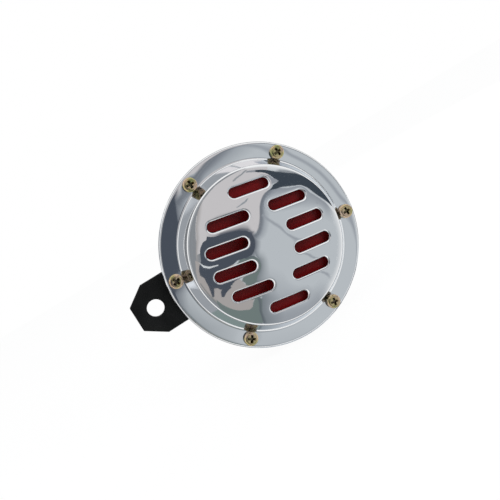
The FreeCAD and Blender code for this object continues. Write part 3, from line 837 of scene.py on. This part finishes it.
def thread(radius, pitch, start, end, x=0.0, z=0.0):
    """A helical ridge on a threaded bar, closed at both ends; none where the bar is too short."""
    root = radius - 0.54 * pitch
    turns = int((end - start - pitch) / pitch)
    if turns < 1:
        return None
    # The ridge's section, by its radius and its place in the pitch
    section = ((root, 0.0), (radius, 0.44), (radius, 0.56), (root, 0.98))
    obj = chain("thread", [Vector((r * MM, (start + y * pitch) * MM, 0)) for r, y in section])
    for_all(bpy.ops.mesh.edge_face_add)
    for_all(bpy.ops.mesh.delete, type="ONLY_FACE")
    bpy.ops.object.mode_set(mode="OBJECT")
    modify(place_in_mesh(obj), "SCREW", axis="Y", screw_offset=pitch * MM, iterations=turns,
           steps=THREAD_STEPS, render_steps=THREAD_STEPS, use_merge_vertices=False)
    with editing(obj):
        bpy.ops.mesh.select_all(action="DESELECT")
        bpy.ops.mesh.select_mode(type="EDGE")
        bpy.ops.mesh.select_non_manifold()
        bpy.ops.mesh.edge_face_add()
        bpy.ops.mesh.select_mode(type="VERT")
        for_all(bpy.ops.mesh.normals_make_consistent, inside=False)
    obj.data.transform(Matrix.Translation(at(x, z)))
    return obj


def threaded_bar(name, radius, pitch, start, end, x=0.0, z=0.0, chamfer=0.4):
    """A bar with a cut thread and a chamfered end towards +Y."""
    root = radius - 0.5 * pitch
    section = [(0, start), (root, start), (root, end - chamfer), (root - chamfer * 0.6, end),
               (0, end)]
    bar = lathe(name, section, 32, x=x, z=z)
    ridge = thread(radius, pitch, start, end - chamfer * 0.4, x, z)
    return joined([bar, ridge]) if ridge else bar


def hex_nut(name, flats, bore, start, end, x=0.0, z=0.0, turn=0.0):
    """A hexagon nut with turned corners and a chamfered bore."""
    corner = flats / math.sqrt(3)
    nut = turn_mesh(rod(name, corner, start, end, x, z, 6), turn, x, z)
    bevel = (corner - flats / 2) * 0.62
    inset = corner - 2.0 * bevel
    lens = [(0, start), (inset, start), (corner, start + bevel), (corner, end - bevel),
            (inset, end), (0, end)]
    cut(nut, lathe("lens", lens, 64, x=x, z=z), "INTERSECT")
    edge, inner = 0.35, bore / 2
    hole = [(0, start - 1), (inner + edge + 1, start - 1), (inner, start + edge),
            (inner, end - edge), (inner + edge + 1, end + 1), (0, end + 1)]
    cut(nut, lathe("bore", hole, 48, x=x, z=z))
    return shade(soften(nut, 0.12, 2, 28), 30)


def split_washer(name, outer, inner, start, end, x=0.0, z=0.0, turn=0.0):
    """A spring washer with its slanted split."""
    washer = ring(name, outer, inner, start, end, [0.15, 0.15, 0.15], 64, x, z)
    width = (end - start) / 3
    gap = box("gap", (x, start - 1, z - width / 2), (x + outer, end + 1, z + width / 2))
    turn_mesh(gap, 18, x, z, (start + end) / 2, (1, 0, 0))
    return shade(cut(washer, turn_mesh(gap, turn, x, z)), 35)


def pan_screw(name):
    """A pan-head screw with its cross recess, at angle 0 on the rim."""
    top, seat, end = FLANGE_FRONT - 2.5, FLANGE_FRONT - 0.05, -6.0
    head = rounded([(0, top), (3.5, top), (3.5, seat), (2.0, seat)], [1.4, 0.15], 10)
    screw = lathe(name, [*head, Vector((2.0, end)), Vector((0, end))], 64, x=SCREW_RADIUS)
    arms = []
    for turn in (0, 90):
        arm = box("arm", (SCREW_RADIUS - 2.2, top - 0.4, -0.62),
                  (SCREW_RADIUS + 2.2, top + 1.7, 0.62))
        arms.append(turn_mesh(taper(arm, top), turn, SCREW_RADIUS))
    cut(screw, cut(*arms, "UNION"))
    soften(screw, 0.1, 2, 40)
    # The attribute "recess" is painted shade: 0.9 in the cross, 0.6 deeper than 1.6 mm below the
    # top
    depth = screw.data.attributes.new("recess", "FLOAT", "POINT")
    for vertex, mark in zip(screw.data.vertices, depth.data):
        across = math.hypot(vertex.co.x - AXIS_X - SCREW_RADIUS * MM, vertex.co.z) / MM
        below = vertex.co.y / MM - top
        in_cross, in_floor = across < 2.35 and 0.25 < below < 1.9, below > 1.6
        mark.value = 0.9 if in_cross else 0.6 if in_floor else 0.0
    # The shank reaches the screw's end, which leaves the tail inside it no length to thread
    tail = threaded_bar("tail", 2.0, 0.7, -6.2, SCREW_END, SCREW_RADIUS)
    return shade(joined([screw, tail]), 35)


def taper(arm, top):
    """Narrows an arm of the cross towards its floor."""
    with editing(arm):
        select_vertices(arm, lambda vertex: vertex.co.y / MM > top + 1)
        bpy.ops.transform.resize(value=(0.5, 1, 0.7))
    return arm


class HORN_OT_rim_fasteners(bpy.types.Operator):
    """Model the six rim screws with their spring washers and nuts"""

    bl_idname = "horn.rim_fasteners"
    bl_label = "Rim screws"

    def execute(self, context):
        screw = pan_screw("rim_screw")
        washer = split_washer("rim_lock_washer", 6.8, 4.5, SHELL_BACK, NUT_SEAT, SCREW_RADIUS)
        nut = hex_nut("rim_nut", 7.0, 4.0, NUT_SEAT, SHELL_BACK + 4.1, SCREW_RADIUS)
        level = (0,) * len(SCREW_ANGLES)
        rows = ((screw, "cover_screws", RECESS_TURNS), (washer, "cover_lock_washers", level),
                (nut, "cover_nuts", level))
        for source, node, turns in rows:
            for k, (own, angle) in enumerate(zip(turns, SCREW_ANGLES), 1):
                piece = turn_mesh(copied(source, f"{source.name}_{k}"), own, SCREW_RADIUS)
                finish(turn_mesh(piece, angle), "horn", "yellow_zinc", node)
        remove([screw, washer, nut])
        return {"FINISHED"}


class HORN_OT_tone_disc(bpy.types.Operator):
    """Model the red tone disc, its nut, washer and spacer, and the armature"""

    bl_idname = "horn.tone_disc"
    bl_label = "Tone disc and armature"

    def execute(self, context):
        front = [(3.15, -19.1), (8.5, -19.1), (11.5, -21.5), (35.0, -22.5), (36.0, -20.1)]
        back = [(35.0, -19.9), (34.2, -21.5), (11.9, -20.5), (8.9, -18.1), (3.15, -18.1),
                (3.15, -19.1)]
        section = rounded(front + back, [0.8, 1.8, 1.8, 0.2, 0.2, 0.8, 0.8, 1.8, 0], 6)
        disc = shade(lathe("tone_disc", section, 192), 35)
        finish(disc, "armature", "red_paint", "tone_disc")
        nut = hex_nut("disc_nut", 10.0, 6.0, -25.5, -20.5)
        finish(nut, "armature", "bright_steel", "disc_nut")
        washer = split_washer("disc_lock_washer", 11.0, 6.3, -20.5, -19.1, turn=40)
        finish(washer, "armature", "bright_steel", "disc_lock_washer")
        spacer = ring("disc_spacer", 15.0, 6.3, -18.1, -15.1, [0.3, 0.3, 0], 64)
        finish(shade(spacer), "armature", "bright_steel", "disc_spacer")
        body = rounded([(0, -14.7), (6.0, -14.7), (6.0, -10.0), (13.0, -10.0), (13.0, -8.0),
                        (7.8, -8.0), (7.8, -3.5), (0, -3.5)], [0.2, 0.4, 0.3, 0.3, 0.3, 0.4], 3)
        plunger = lathe("armature", body, 96)
        stud = lathe("stud", [(0, -26.5), (2.1, -26.5), (2.5, -26.1), (2.5, -14.6), (0, -14.6)], 32)
        ridge = thread(3.0, 1.0, -26.3, -19.2)
        finish(shade(joined([plunger, stud, ridge])), "armature", "bright_steel", "armature")
        return {"FINISHED"}


class HORN_OT_diaphragm(bpy.types.Operator):
    """Model the diaphragm, which flexes between the rim and the armature, and its gaskets"""

    bl_idname = "horn.diaphragm"
    bl_label = "Diaphragm and gaskets"

    def execute(self, context):
        front = [(3.15, -15.1), (33.0, -15.1), (39.0, -13.9), (48.2, -13.9)]
        back = [(48.2, -13.5), (39.0, -13.5), (33.0, -14.7), (3.15, -14.7), (3.15, -15.1)]
        section = rounded(front + back, [3.0, 3.0, 0, 0, 3.0, 3.0, 0], 5)
        skin = lathe("diaphragm", section, 192)
        drill_rim(skin, -10.0, 24)
        finish_flexing(shade(skin, 35), "spring_steel", "diaphragm")
        for node in ("front_gasket", "rear_gasket"):
            keep_node(node, "fibre")
        return {"FINISHED"}


class HORN_OT_bowl(bpy.types.Operator):
    """Finish the pressed bowl behind the diaphragm"""

    bl_idname = "horn.bowl"
    bl_label = "Bowl"

    def execute(self, context):
        keep_node("body_shell", "black_paint")
        return {"FINISHED"}


def winding_section():
    """The spool's filling, with the wire's outer turns as bumps."""
    inner, outer, half, turns = 9.2, 18.0, 5.1, 17
    wire_size = 2 * half / turns
    section = [(inner, -half)]
    for k in range(turns):
        middle = -half + wire_size * (k + 0.5)
        for angle in (60, 30, 0, -30, -60):
            section.append((outer - wire_size / 2 + wire_size / 2 * math.cos(math.radians(angle)),
                            middle - wire_size / 2 * math.sin(math.radians(angle))))
    return section + [(inner, half)]


class HORN_OT_magnet(bpy.types.Operator):
    """Model the magnet's core, spool and winding"""

    bl_idname = "horn.magnet"
    bl_label = "Magnet"

    def execute(self, context):
        core = rounded([(0, -2.7), (8.0, -2.7), (8.0, 6.3), (11.0, 6.3), (11.0, 8.3), (0, 8.3)],
                       [0.3, 0.2, 0.3, 0.3], 3)
        head = lathe("core", core, 96)
        stud = threaded_bar("stud", 4.0, 1.25, 8.2, 28.6, chamfer=1.0)
        finish(shade(joined([head, stud])), "horn", "bright_steel", "pole_core")
        keep_node("coil_bobbin", "bobbin_plastic")
        winding = shade(lathe("winding", winding_section(), 96), 60)
        finish(winding, "horn", "copper_wire", "coil_winding")
        return {"FINISHED"}


class HORN_OT_bracket(bpy.types.Operator):
    """Model the cranked bracket and what clamps it"""

    bl_idname = "horn.bracket"
    bl_label = "Bracket"

    def execute(self, context):
        strip = soften(from_node("bracket", "bracket"), 0.35, 3, 40)
        finish(shade(strip, 35), "horn", "black_paint", "bracket")
        clamps = (("core_nut", hex_nut("core_nut", 13.0, 8.0, 9.5, 13.5, turn=12)),
                  ("bracket_washer", shade(ring("bracket_washer", 17.0, 8.4, 16.5, 18.1,
                                                [0.3, 0.12, 0.3], 96), 40)),
                  ("bracket_lock_washer",
                   split_washer("bracket_lock_washer", 13.5, 8.4, 18.1, 20.1, turn=200)),
                  ("bracket_nut", hex_nut("bracket_nut", 13.0, 8.0, 20.1, 26.6, turn=-8)))
        for node, piece in clamps:
            finish(piece, "horn", "bright_steel", node)
        return {"FINISHED"}


class HORN_OT_breaker(bpy.types.Operator):
    """Finish the contact breaker beside the coil"""

    bl_idname = "horn.breaker"
    bl_label = "Contact breaker"

    def execute(self, context):
        rows = (("fixed_arm", "terminal_brass"), ("fixed_contact", "contact_silver"),
                ("moving_contact", "contact_silver"), ("breaker_pads", "fibre"),
                ("breaker_bracket", "bright_steel"), ("breaker_rivets", "bright_steel"))
        finish_plain([(node, slot, 0.12) for node, slot in rows])
        blade = from_node("moving_blade", "moving_blade_finished")
        with editing(blade):
            for z in range(10, 32, 2):
                for_all(bpy.ops.mesh.bisect, plane_co=(0, 0, z * MM), plane_no=(0, 0, 1))
        finish_flexing(shade(blade), "spring_steel", "moving_blade")
        return {"FINISHED"}


class HORN_OT_adjuster(bpy.types.Operator):
    """Model the adjusting screw with its locking nut"""

    bl_idname = "horn.adjuster"
    bl_label = "Adjuster"

    def execute(self, context):
        x, z = 9.6, 20.0
        head = rounded([(0, 13.9), (3.5, 13.9), (3.5, 16.3), (0, 16.3)], [0.25, 0.6], 4)
        knob = lathe("adjusting_screw", head, 48, x=x, z=z)
        slot = box("slot", (x - 6, 15.1, z - 0.5), (x + 6, 17.0, z + 0.5))
        soften(cut(knob, turn_mesh(slot, 25, x, z)), 0.12, 2, 40)
        shank = threaded_bar("shank", 2.0, 0.7, -9.3, 14.0, x, z)
        finish(shade(joined([knob, shank])), "horn", "bright_steel", "adjusting_screw")
        nut = hex_nut("adjuster_nut", 7.0, 4.0, 9.5, 11.9, x, z, 20)
        finish(nut, "horn", "bright_steel", "adjuster_nut")
        return {"FINISHED"}


class HORN_OT_terminals(bpy.types.Operator):
    """Model the moulded plate with its two blade terminals"""

    bl_idname = "horn.terminals"
    bl_label = "Terminals"

    def execute(self, context):
        finish_plain((("terminal_plate", "terminal_resin", 0.3), ("terminal_backing", "fibre", 0.1),
                      ("terminals", "terminal_brass", 0.12),
                      ("terminal_rivets", "terminal_brass", 0.25)))
        return {"FINISHED"}


# Stage

# Camera, worked out from the photograph's ellipses: turns in degrees and lengths in metres
VIEW_AZIMUTH, VIEW_ELEVATION, VIEW_ROLL = -10.91, 7.226, -30.709
VIEW_TARGET = Vector((0.052226, -0.015433, 0.001431))
VIEW_DISTANCE, VIEW_LENS, VIEW_SENSOR = 0.25, 37.516, 36.0
# How much brighter a card is for light that has met the chrome twice, as in the wall
TWICE = 1.5
# Name, the two angles and the distance as for a card, size in metres and power in watts
LAMPS = (("key_lamp", 38, 34, 0.55, 0.3, 1.6), ("fill_lamp", -50, 20, 0.7, 0.5, 1.0),
         ("back_lamp", 60, 120, 0.8, 0.5, 1.5))


def view_axes():
    """The camera's right, up and forward directions."""
    azimuth, elevation = math.radians(VIEW_AZIMUTH), math.radians(VIEW_ELEVATION)
    roll = math.radians(VIEW_ROLL)
    forward = Vector((-math.sin(azimuth) * math.cos(elevation),
                      math.cos(azimuth) * math.cos(elevation), -math.sin(elevation)))
    level = Vector((math.cos(azimuth), math.sin(azimuth), 0))
    up = level.cross(forward)
    return (math.cos(roll) * level + math.sin(roll) * up,
            math.cos(roll) * up - math.sin(roll) * level, forward)


def card_point(across, above, distance):
    """A place round the camera's line of sight, by its angles from it as the chrome sees it."""
    right, up, forward = view_axes()
    angle = math.radians(math.hypot(across, above))
    turn = math.atan2(above, across)
    away = right * math.cos(turn) + up * math.sin(turn)
    centre = Vector((AXIS_X, -0.024, 0))
    return centre + (away * math.sin(angle) - forward * math.cos(angle)) * distance


def new_card():
    """An empty mesh with the layer that says how far each vertex covers."""
    mesh = bmesh.new()
    return mesh, mesh.verts.layers.float.new("cover")


def ribbon(name, code, distance, solid, clear, ends=""):
    """A soft card: opaque along its first line, fading out to its second and at the ends named."""
    mesh, cover = new_card()
    rows = 6
    faded = {"start": (0,), "end": (len(solid) - 1,), "both": (0, len(solid) - 1)}.get(ends, ())
    lines = []
    for row in range(rows + 1):
        share = row / rows
        line = []
        for k, ((x0, y0), (x1, y1)) in enumerate(zip(solid, clear)):
            place = card_point(x0 + (x1 - x0) * share, y0 + (y1 - y0) * share, distance)
            vertex = mesh.verts.new(place)
            vertex[cover] = 0 if k in faded else 1 - share
            line.append(vertex)
        lines.append(line)
    for above, below in zip(lines, lines[1:]):
        for k in range(len(above) - 1):
            mesh.faces.new((above[k], above[k + 1], below[k + 1], below[k]))
    hang_card(name, mesh, code)


def card(name, code, distance, outline):
    """A studio card, curved round the horn, that only its reflections show."""
    mesh, cover = new_card()
    mesh.faces.new([mesh.verts.new((across, above, 0)) for across, above in outline])
    bmesh.ops.triangulate(mesh, faces=mesh.faces[:])
    # Cut every 6 degrees, so that it follows the curve
    for step in range(-144, 145, 6):
        for side in (Vector((1, 0, 0)), Vector((0, 1, 0))):
            parts = mesh.verts[:] + mesh.edges[:] + mesh.faces[:]
            bmesh.ops.bisect_plane(mesh, geom=parts, plane_co=side * step, plane_no=side)
    for vertex in mesh.verts:
        vertex.co = card_point(vertex.co.x, vertex.co.y, distance)
        vertex[cover] = 1.0
    hang_card(name, mesh, code)


def hang_card(name, mesh, code):
    """Makes a card's mesh an object that glows in reflections only."""
    data = bpy.data.meshes.new(name)
    mesh.to_mesh(data)
    mesh.free()
    obj = linked(name, data)
    material = bpy.data.materials.new(name)
    material.use_nodes = True
    tree = material.node_tree
    tree.nodes.clear()
    glow = add_node(tree, "Emission", Color=(*tone(code), 1.0))
    brighter = add_node(tree, "MapRange", From_Min=1.0, From_Max=2.0, To_Min=1.0, To_Max=TWICE)
    cover = add_node(tree, "Attribute")
    cover.attribute_name = "cover"
    mix = add_node(tree, "MixShader")
    wire(tree, (add_node(tree, "LightPath"), "Ray Depth", brighter, "Value"),
         (brighter, "Result", glow, "Strength"), (cover, "Fac", mix, "Fac"),
         (add_node(tree, "BsdfTransparent"), "BSDF", mix, 1), (glow, "Emission", mix, 2),
         (mix, "Shader", add_node(tree, "OutputMaterial"), "Surface"))
    data.materials.append(material)
    obj.visible_camera = obj.visible_shadow = obj.visible_diffuse = False


def linear(code):
    """A colour written as six hexadecimal digits, as linear light."""
    values = [int(code[k:k + 2], 16) / 255 for k in (0, 2, 4)]
    return tuple(v / 12.92 if v <= 0.04045 else ((v + 0.055) / 1.055) ** 2.4 for v in values)


def tone(code, lift=1.15):
    """The tone that a card needs for the chrome to show this colour."""
    return tuple(min(1.0, value * lift) for value in linear(code))


def oval(across, above, width, height, count=48):
    """An oval outline by its centre and half sizes."""
    return [(across + width * math.cos(2 * math.pi * k / count),
             above + height * math.sin(2 * math.pi * k / count)) for k in range(count)]


def hoop(across, above, radius_x, radius_y):
    """A closed oval line for a ribbon."""
    line = oval(across, above, radius_x, radius_y, 72)
    return line + line[:1]


def room_cards():
    """The pale room, darker beyond it, and the greys at its left and right."""
    ribbon("back_room", "4c5056", 0.66, hoop(10, 8, 106, 106), hoop(0, 0, 166, 166))
    card("room_grey", "b5babe", 0.68, oval(27, -1, 57, 58))
    ribbon("room_edge", "b5babe", 0.68, hoop(27, -1, 57, 58), hoop(27, -1, 67, 68))
    ribbon("low_grey", "8b9097", 0.675, [(12, -66), (22, -66), (40, -66), (56, -60), (70, -48),
           (80, -34)], [(14, -16), (24, -14), (36, -20), (48, -30), (60, -34), (70, -26)], "both")
    ribbon("under_flag", "8b9097", 0.675, [(20, 45), (26, 44), (40, 43), (52, 44), (62, 41),
           (74, 34), (82, 26)], [(21, 30), (26, 28), (38, 27), (50, 28), (60, 26), (70, 22),
           (80, 16)], "both")
    card("left_room", "84878b", 0.672, [(-60, -14), (-54, -34), (-38, -54), (-16, -64), (8, -66),
         (20, -66), (20, -50), (-8, -40), (-20, -28), (-26, 0), (-26, 20), (-20, 36), (-6, 48),
         (6, 54), (6, 66), (-14, 64), (-36, 52), (-54, 34), (-60, 14)])
    ribbon("left_glow", "d0d3d6", 0.67, [(-34, -38), (-36, -30), (-37, -12), (-37, 8), (-34, 26),
           (-24, 44)], [(-44, -42), (-46, -34), (-48, -12), (-48, 8), (-44, 28), (-32, 50)],
           "both")


def wall_cards():
    """The walls behind the camera: pale, warm and green grey, with their soft edges."""
    card("pale_wall", "c2bfc0", 0.665, [(9, 4), (14, 8), (17.5, 12), (18, 20), (18.6, 28),
         (19.6, 33), (21, 38), (23, 43), (24, 47), (24, 62), (4, 60), (-6, 53), (-17, 45),
         (-26, 33), (-29.5, 20), (-29.5, 5), (-28, -8), (-10, 0)])
    ribbon("pale_edge", "9c9998", 0.66, [(-28, 36), (-28.5, 28), (-29, 18), (-29, 4), (-29, -10),
           (-28, -16)], [(-24, 34), (-25, 28), (-25, 18), (-26, 4), (-26, -10), (-26, -16)],
           "both")
    card("left_strip", "85898d", 0.65, [(-33, 24), (-32, 24), (-32, -14), (-33.4, -14)])
    card("warm_wall", "a29d9b", 0.65, [(-30, -12), (-12, -18), (0, -20), (4, -26), (8, -32),
         (12.6, -38), (12.6, -48), (10, -50.5), (-2, -50), (-14, -46), (-30, -32)])
    card("green_grey", "6d7977", 0.645, [(-15, -42), (-10, -46), (-4, -48.5), (2, -50.3),
         (10, -50.3), (12.5, -48), (13, -38), (16, -37), (20, -40), (20.5, -46), (21, -63),
         (5, -66), (-12, -58)])
    card("green_patch", "6a7674", 0.645, [(3.5, -12), (9, -11), (13, -11), (15.5, -14), (16, -22),
         (16.5, -29), (18, -33), (17, -38), (13, -38.5), (9, -34), (7.5, -30), (4.5, -27),
         (3.5, -20)])
    ribbon("patch_edge", "767d82", 0.64, [(13.5, -4), (15, -12), (15.8, -20), (16.3, -28),
           (18, -34), (20, -42), (20.6, -52), (21, -64)], [(23, -4), (25, -12), (26, -20),
           (27, -28), (30, -34), (35, -42), (38, -52), (38, -64)], "start")
    low_seam = [(15.6, -34), (16, -38), (17.6, -42), (18.6, -46), (19, -52), (20.6, -57),
                (22, -64)]
    for name, reach in (("low_seam_left", -1.2), ("low_seam_right", 2.6)):
        ribbon(name, "5c6369", 0.635, low_seam, [(x + reach, y) for x, y in low_seam], "start")


def stand_cards():
    """The dark stand that the dome mirrors."""
    ribbon("stand_shade", "7f7f83", 0.65, [(-19, 9), (-12, 9.5), (-4, 10), (4, 10.5), (9, 10),
           (12, 8)], [(-19, 17), (-12, 20), (-4, 22), (3, 22), (8, 18), (12, 13)], "both")
    ribbon("stand_top", "4c525d", 0.64, [(-21, 6.6), (-12, 8.6), (-4, 9.6), (2, 10), (7, 9.2),
           (11, 6.6)], [(-20, 11), (-12, 13.4), (-4, 14.6), (3, 14.8), (10, 12.6), (14, 9.6)],
           "start")
    card("dark_stand", "474d57", 0.63, [(-20.7, 6.8), (-12, 9), (-4, 10), (2, 10.4), (8, 9.4),
         (11, 6.6), (12.8, 3), (13.4, 0), (13, -5), (11.8, -9.4), (9, -12), (6, -13), (2, -14),
         (1.2, -16), (-1, -20), (-2.5, -26), (-3, -33), (-6.5, -37), (-8, -40), (-10.5, -40),
         (-11.3, -36), (-10.8, -33), (-13, -31.6), (-16, -32.5), (-16.5, -40), (-18, -40),
         (-19, -36), (-20, -31), (-23, -25.5), (-26.5, -23.5), (-27.5, -20), (-27, -16),
         (-25, -12), (-25.5, -4), (-24, 1), (-21.5, 3)])
    ribbon("dark_edge", "4c525d", 0.635, [(8.6, 8), (10.6, 5.6), (12, 2), (12.2, -2), (11.2, -6),
           (10, -10), (7, -12)], [(14, 11), (17.5, 7), (19.4, 2), (19, -3), (18, -8), (16, -13),
           (12, -18)])
    card("bright_streak", "cdd0d2", 0.62, [(-27, -13), (-23, -15.3), (-19, -16), (-13, -15),
         (-13, -16.2), (-19, -18), (-24, -17)])


def seam_cards():
    """The seam from the stand up to the flag, and its branch to the right."""
    seam = [(13.6, 5), (16.6, 8), (18.2, 12), (18.8, 16), (19.2, 22), (19.8, 28), (21, 33),
            (22.4, 38), (24.4, 43), (27, 46)]
    ribbon("seam_left", "6a6f77", 0.63, [(x - 0.8, y + 0.2) for x, y in seam],
           [(x - 2, y + 0.6) for x, y in seam])
    ribbon("seam", "6a6f77", 0.63, [(x - 0.8, y + 0.2) for x, y in seam],
           [(x + 2 + k * 0.28, y - 1.2) for k, (x, y) in enumerate(seam)])
    ribbon("seam_tail", "858b93", 0.632, seam,
           [(x + 6 + k * 0.3, y - 2) for k, (x, y) in enumerate(seam)])
    branch = [(20, 23), (24, 20), (30, 16), (37, 12.4), (42, 8.4), (46, 4.6), (50, 0.6),
              (54, -3.6), (58, -7.6), (62, -12), (66, -16), (70, -20), (75, -24), (79, -29)]
    for name, side in (("branch_above", 1), ("branch_below", -1)):
        ribbon(name, "92979e", 0.625, branch,
               [(x + 1.2 * side, y + 1.6 * side) for x, y in branch], "end")


def flag_cards():
    """The dark flag above, and the thin lines and edges round it."""
    card("dark_flag", "3a424b", 0.61, [(24, 43), (30, 43), (36, 44.6), (45, 45.5), (56, 46),
         (62, 43), (71, 38), (79, 34), (90, 34), (86, 46), (76, 54), (66, 57), (58, 57),
         (50, 58.5), (36, 58), (26, 58), (15, 57.6), (15, 55.4), (22, 54), (27, 52.5), (31, 50),
         (31, 48.6), (26, 47)])
    card("flag_light", "8f939a", 0.605, [(18, 50), (24, 52.5), (30, 51.4), (33, 50), (30, 48.6),
         (24, 47.6)])
    ribbon("flag_streaks", "70757c", 0.615, [(30, 58), (34, 58), (44, 58.6), (54, 57.4),
           (66, 56.8)], [(30, 61), (34, 62), (44, 63), (56, 62), (68, 61)], "both")
    card("grey_shelf", "8b8e94", 0.615, [(7, 55), (16, 55.4), (16, 57.8), (8, 57)])
    card("thin_line_top", "8b8f93", 0.62, [(-2.6, 47), (-0.4, 50.2), (3.6, 53.8), (6.8, 58.4),
         (8.2, 58), (4.8, 53), (0.8, 49.4), (-1.2, 46.4)])
    card("thin_line_mid", "8f9499", 0.62, [(1, 25.8), (3.4, 30), (6, 33.6), (7.2, 37), (8.6, 36.8),
         (7.4, 32.8), (4.8, 29.2), (2.4, 25.4)])
    ribbon("lower_edge", "6d7374", 0.62, [(-28, -30), (-22, -38), (-16, -45), (-8, -51)],
           [(-26, -29), (-20, -37), (-14, -43.5), (-6, -49)])


def where_seen(tree):
    """One where the camera or a mirror looks, or light comes through, and nought elsewhere."""
    path = add_node(tree, "LightPath")
    seen, through = add_node(tree, "Math", "MAXIMUM"), add_node(tree, "Math", "MAXIMUM")
    wire(tree, (path, "Is Camera Ray", seen, 0), (path, "Is Glossy Ray", seen, 1),
         (seen, "Value", through, 0), (path, "Is Transmission Ray", through, 1))
    return through


def lay_floor():
    """A plain pale floor just under the rim, nearly white to the camera."""
    clear_selection()
    clearance = 0.0005
    bpy.ops.mesh.primitive_plane_add(size=6.0, location=(AXIS_X, 0, -RIM - clearance))
    floor = bpy.context.object
    floor.name = "floor"
    material = bpy.data.materials.new("Pale floor")
    material.use_nodes = True
    tree = material.node_tree
    shader = set_values(tree.nodes["Principled BSDF"], {
        "Base_Color": (0.9, 0.9, 0.9, 1.0), "Roughness": 0.9, "Specular_IOR_Level": 0.1})
    whiteness = add_node(tree, "Math", "MULTIPLY")
    whiteness.inputs[1].default_value = 0.94
    mix = add_node(tree, "MixShader")
    wire(tree, (where_seen(tree), "Value", whiteness, 0), (whiteness, "Value", mix, "Fac"),
         (shader, "BSDF", mix, 1), (add_node(tree, "Emission"), "Emission", mix, 2),
         (mix, "Shader", tree.nodes["Material Output"], "Surface"))
    floor.data.materials.append(material)
    floor.visible_glossy = False


def light_world():
    """Even pale light from all round, white where the camera looks."""
    world = bpy.data.worlds.new("Studio")
    bpy.context.scene.world = world
    world.use_nodes = True
    tree = world.node_tree
    tree.nodes.clear()
    room = add_node(tree, "Background", Color=(0.93, 0.94, 0.96, 1.0),
                    Strength=settings().room_light)
    white = add_node(tree, "Background", Color=(1.0, 1.0, 1.0, 1.0))
    mix = add_node(tree, "MixShader")
    wire(tree, (where_seen(tree), "Value", mix, "Fac"), (room, "Background", mix, 1),
         (white, "Background", mix, 2),
         (mix, "Shader", add_node(tree, "OutputWorld"), "Surface"))


def lamp(name, across, above, distance, size, power):
    """A soft lamp aimed at the horn, placed as the cards are."""
    data = bpy.data.lights.new(name, "AREA")
    data.shape = "DISK"
    data.size = size
    data.energy = power * settings().lamp_power
    obj = linked(name, data)
    obj.location = card_point(across, above, distance)
    aim = Vector((AXIS_X, -0.02, 0)) - obj.location
    obj.rotation_mode = "QUATERNION"
    obj.rotation_quaternion = aim.to_track_quat("-Z", "Y")
    obj.visible_glossy = False


def place_camera(scene):
    """The photograph's camera."""
    right, up, forward = view_axes()
    data = bpy.data.cameras.new("camera")
    data.lens = VIEW_LENS
    data.sensor_width = VIEW_SENSOR
    data.clip_start = 0.01
    camera = linked("camera", data)
    turn = Matrix((right, up, -forward)).transposed().to_4x4()
    camera.matrix_world = Matrix.Translation(VIEW_TARGET - forward * VIEW_DISTANCE) @ turn
    scene.camera = camera


class HORN_OT_stage(bpy.types.Operator):
    """Set the floor, the studio cards, the lamps and the camera"""

    bl_idname = "horn.stage"
    bl_label = "Stage"

    def execute(self, context):
        lay_floor()
        light_world()
        for cards in (room_cards, wall_cards, stand_cards, seam_cards, flag_cards):
            cards()
        for row in LAMPS:
            lamp(*row)
        place_camera(context.scene)
        context.scene.view_settings.view_transform = "Standard"
        return {"FINISHED"}


class HornSettings(bpy.types.PropertyGroup):
    """Sizes, colours and light levels of the dressed horn"""

    chrome_colour: bpy.props.FloatVectorProperty(
        name="Chrome", description="Colour of the chrome plate", subtype="COLOR", size=3,
        default=(0.86, 0.87, 0.88), min=0.0, max=1.0)
    slot_lip: bpy.props.FloatProperty(
        name="Slot lip", description="Radius of the rolled edge of each slot", subtype="DISTANCE",
        unit="LENGTH", default=0.8 * MM, min=0.2 * MM, max=0.9 * MM)
    slot_draw: bpy.props.FloatProperty(
        name="Slot draw", description="How deep the sheet is drawn in at each slot's edge",
        subtype="DISTANCE", unit="LENGTH", default=0.16 * MM, min=0.0, max=0.4 * MM)
    room_light: bpy.props.FloatProperty(
        name="Room light", description="Strength of the even light from all round", default=0.95,
        min=0.0, max=2.0)
    lamp_power: bpy.props.FloatProperty(
        name="Lamp power", description="Power of the lamps", subtype="POWER", unit="POWER",
        default=1.0, min=0.0, max=10.0)


class HORN_PT_sidebar(bpy.types.Panel):
    """Settings and steps of the dressed horn"""

    bl_label = "Disc horn"
    bl_idname = "HORN_PT_sidebar"
    bl_space_type = "VIEW_3D"
    bl_region_type = "UI"
    bl_category = "Horn"

    def draw(self, context):
        column = self.layout.column()
        for name in HornSettings.__annotations__:
            column.prop(context.scene.horn_settings, name)
        for operator in OPERATORS:
            column.operator(operator.bl_idname)


OPERATORS = (HORN_OT_cover, HORN_OT_rim_fasteners, HORN_OT_tone_disc, HORN_OT_diaphragm,
             HORN_OT_bowl, HORN_OT_magnet, HORN_OT_bracket, HORN_OT_breaker, HORN_OT_adjuster,
             HORN_OT_terminals, HORN_OT_stage)
CLASSES = (HornSettings, *OPERATORS, HORN_PT_sidebar)


def register():
    for item in CLASSES:
        bpy.utils.register_class(item)
    bpy.types.Scene.horn_settings = bpy.props.PointerProperty(type=HornSettings)


def unregister():
    del bpy.types.Scene.horn_settings
    for item in reversed(CLASSES):
        bpy.utils.unregister_class(item)


def main():
    """Models everything in order."""
    register()
    bpy.ops.horn.cover()
    bpy.ops.horn.rim_fasteners()
    bpy.ops.horn.tone_disc()
    bpy.ops.horn.diaphragm()
    bpy.ops.horn.bowl()
    bpy.ops.horn.magnet()
    bpy.ops.horn.bracket()
    bpy.ops.horn.breaker()
    bpy.ops.horn.adjuster()
    bpy.ops.horn.terminals()
    bpy.ops.horn.stage()
    bpy.context.view_layer.update()


if __name__ == "__main__":
    main()
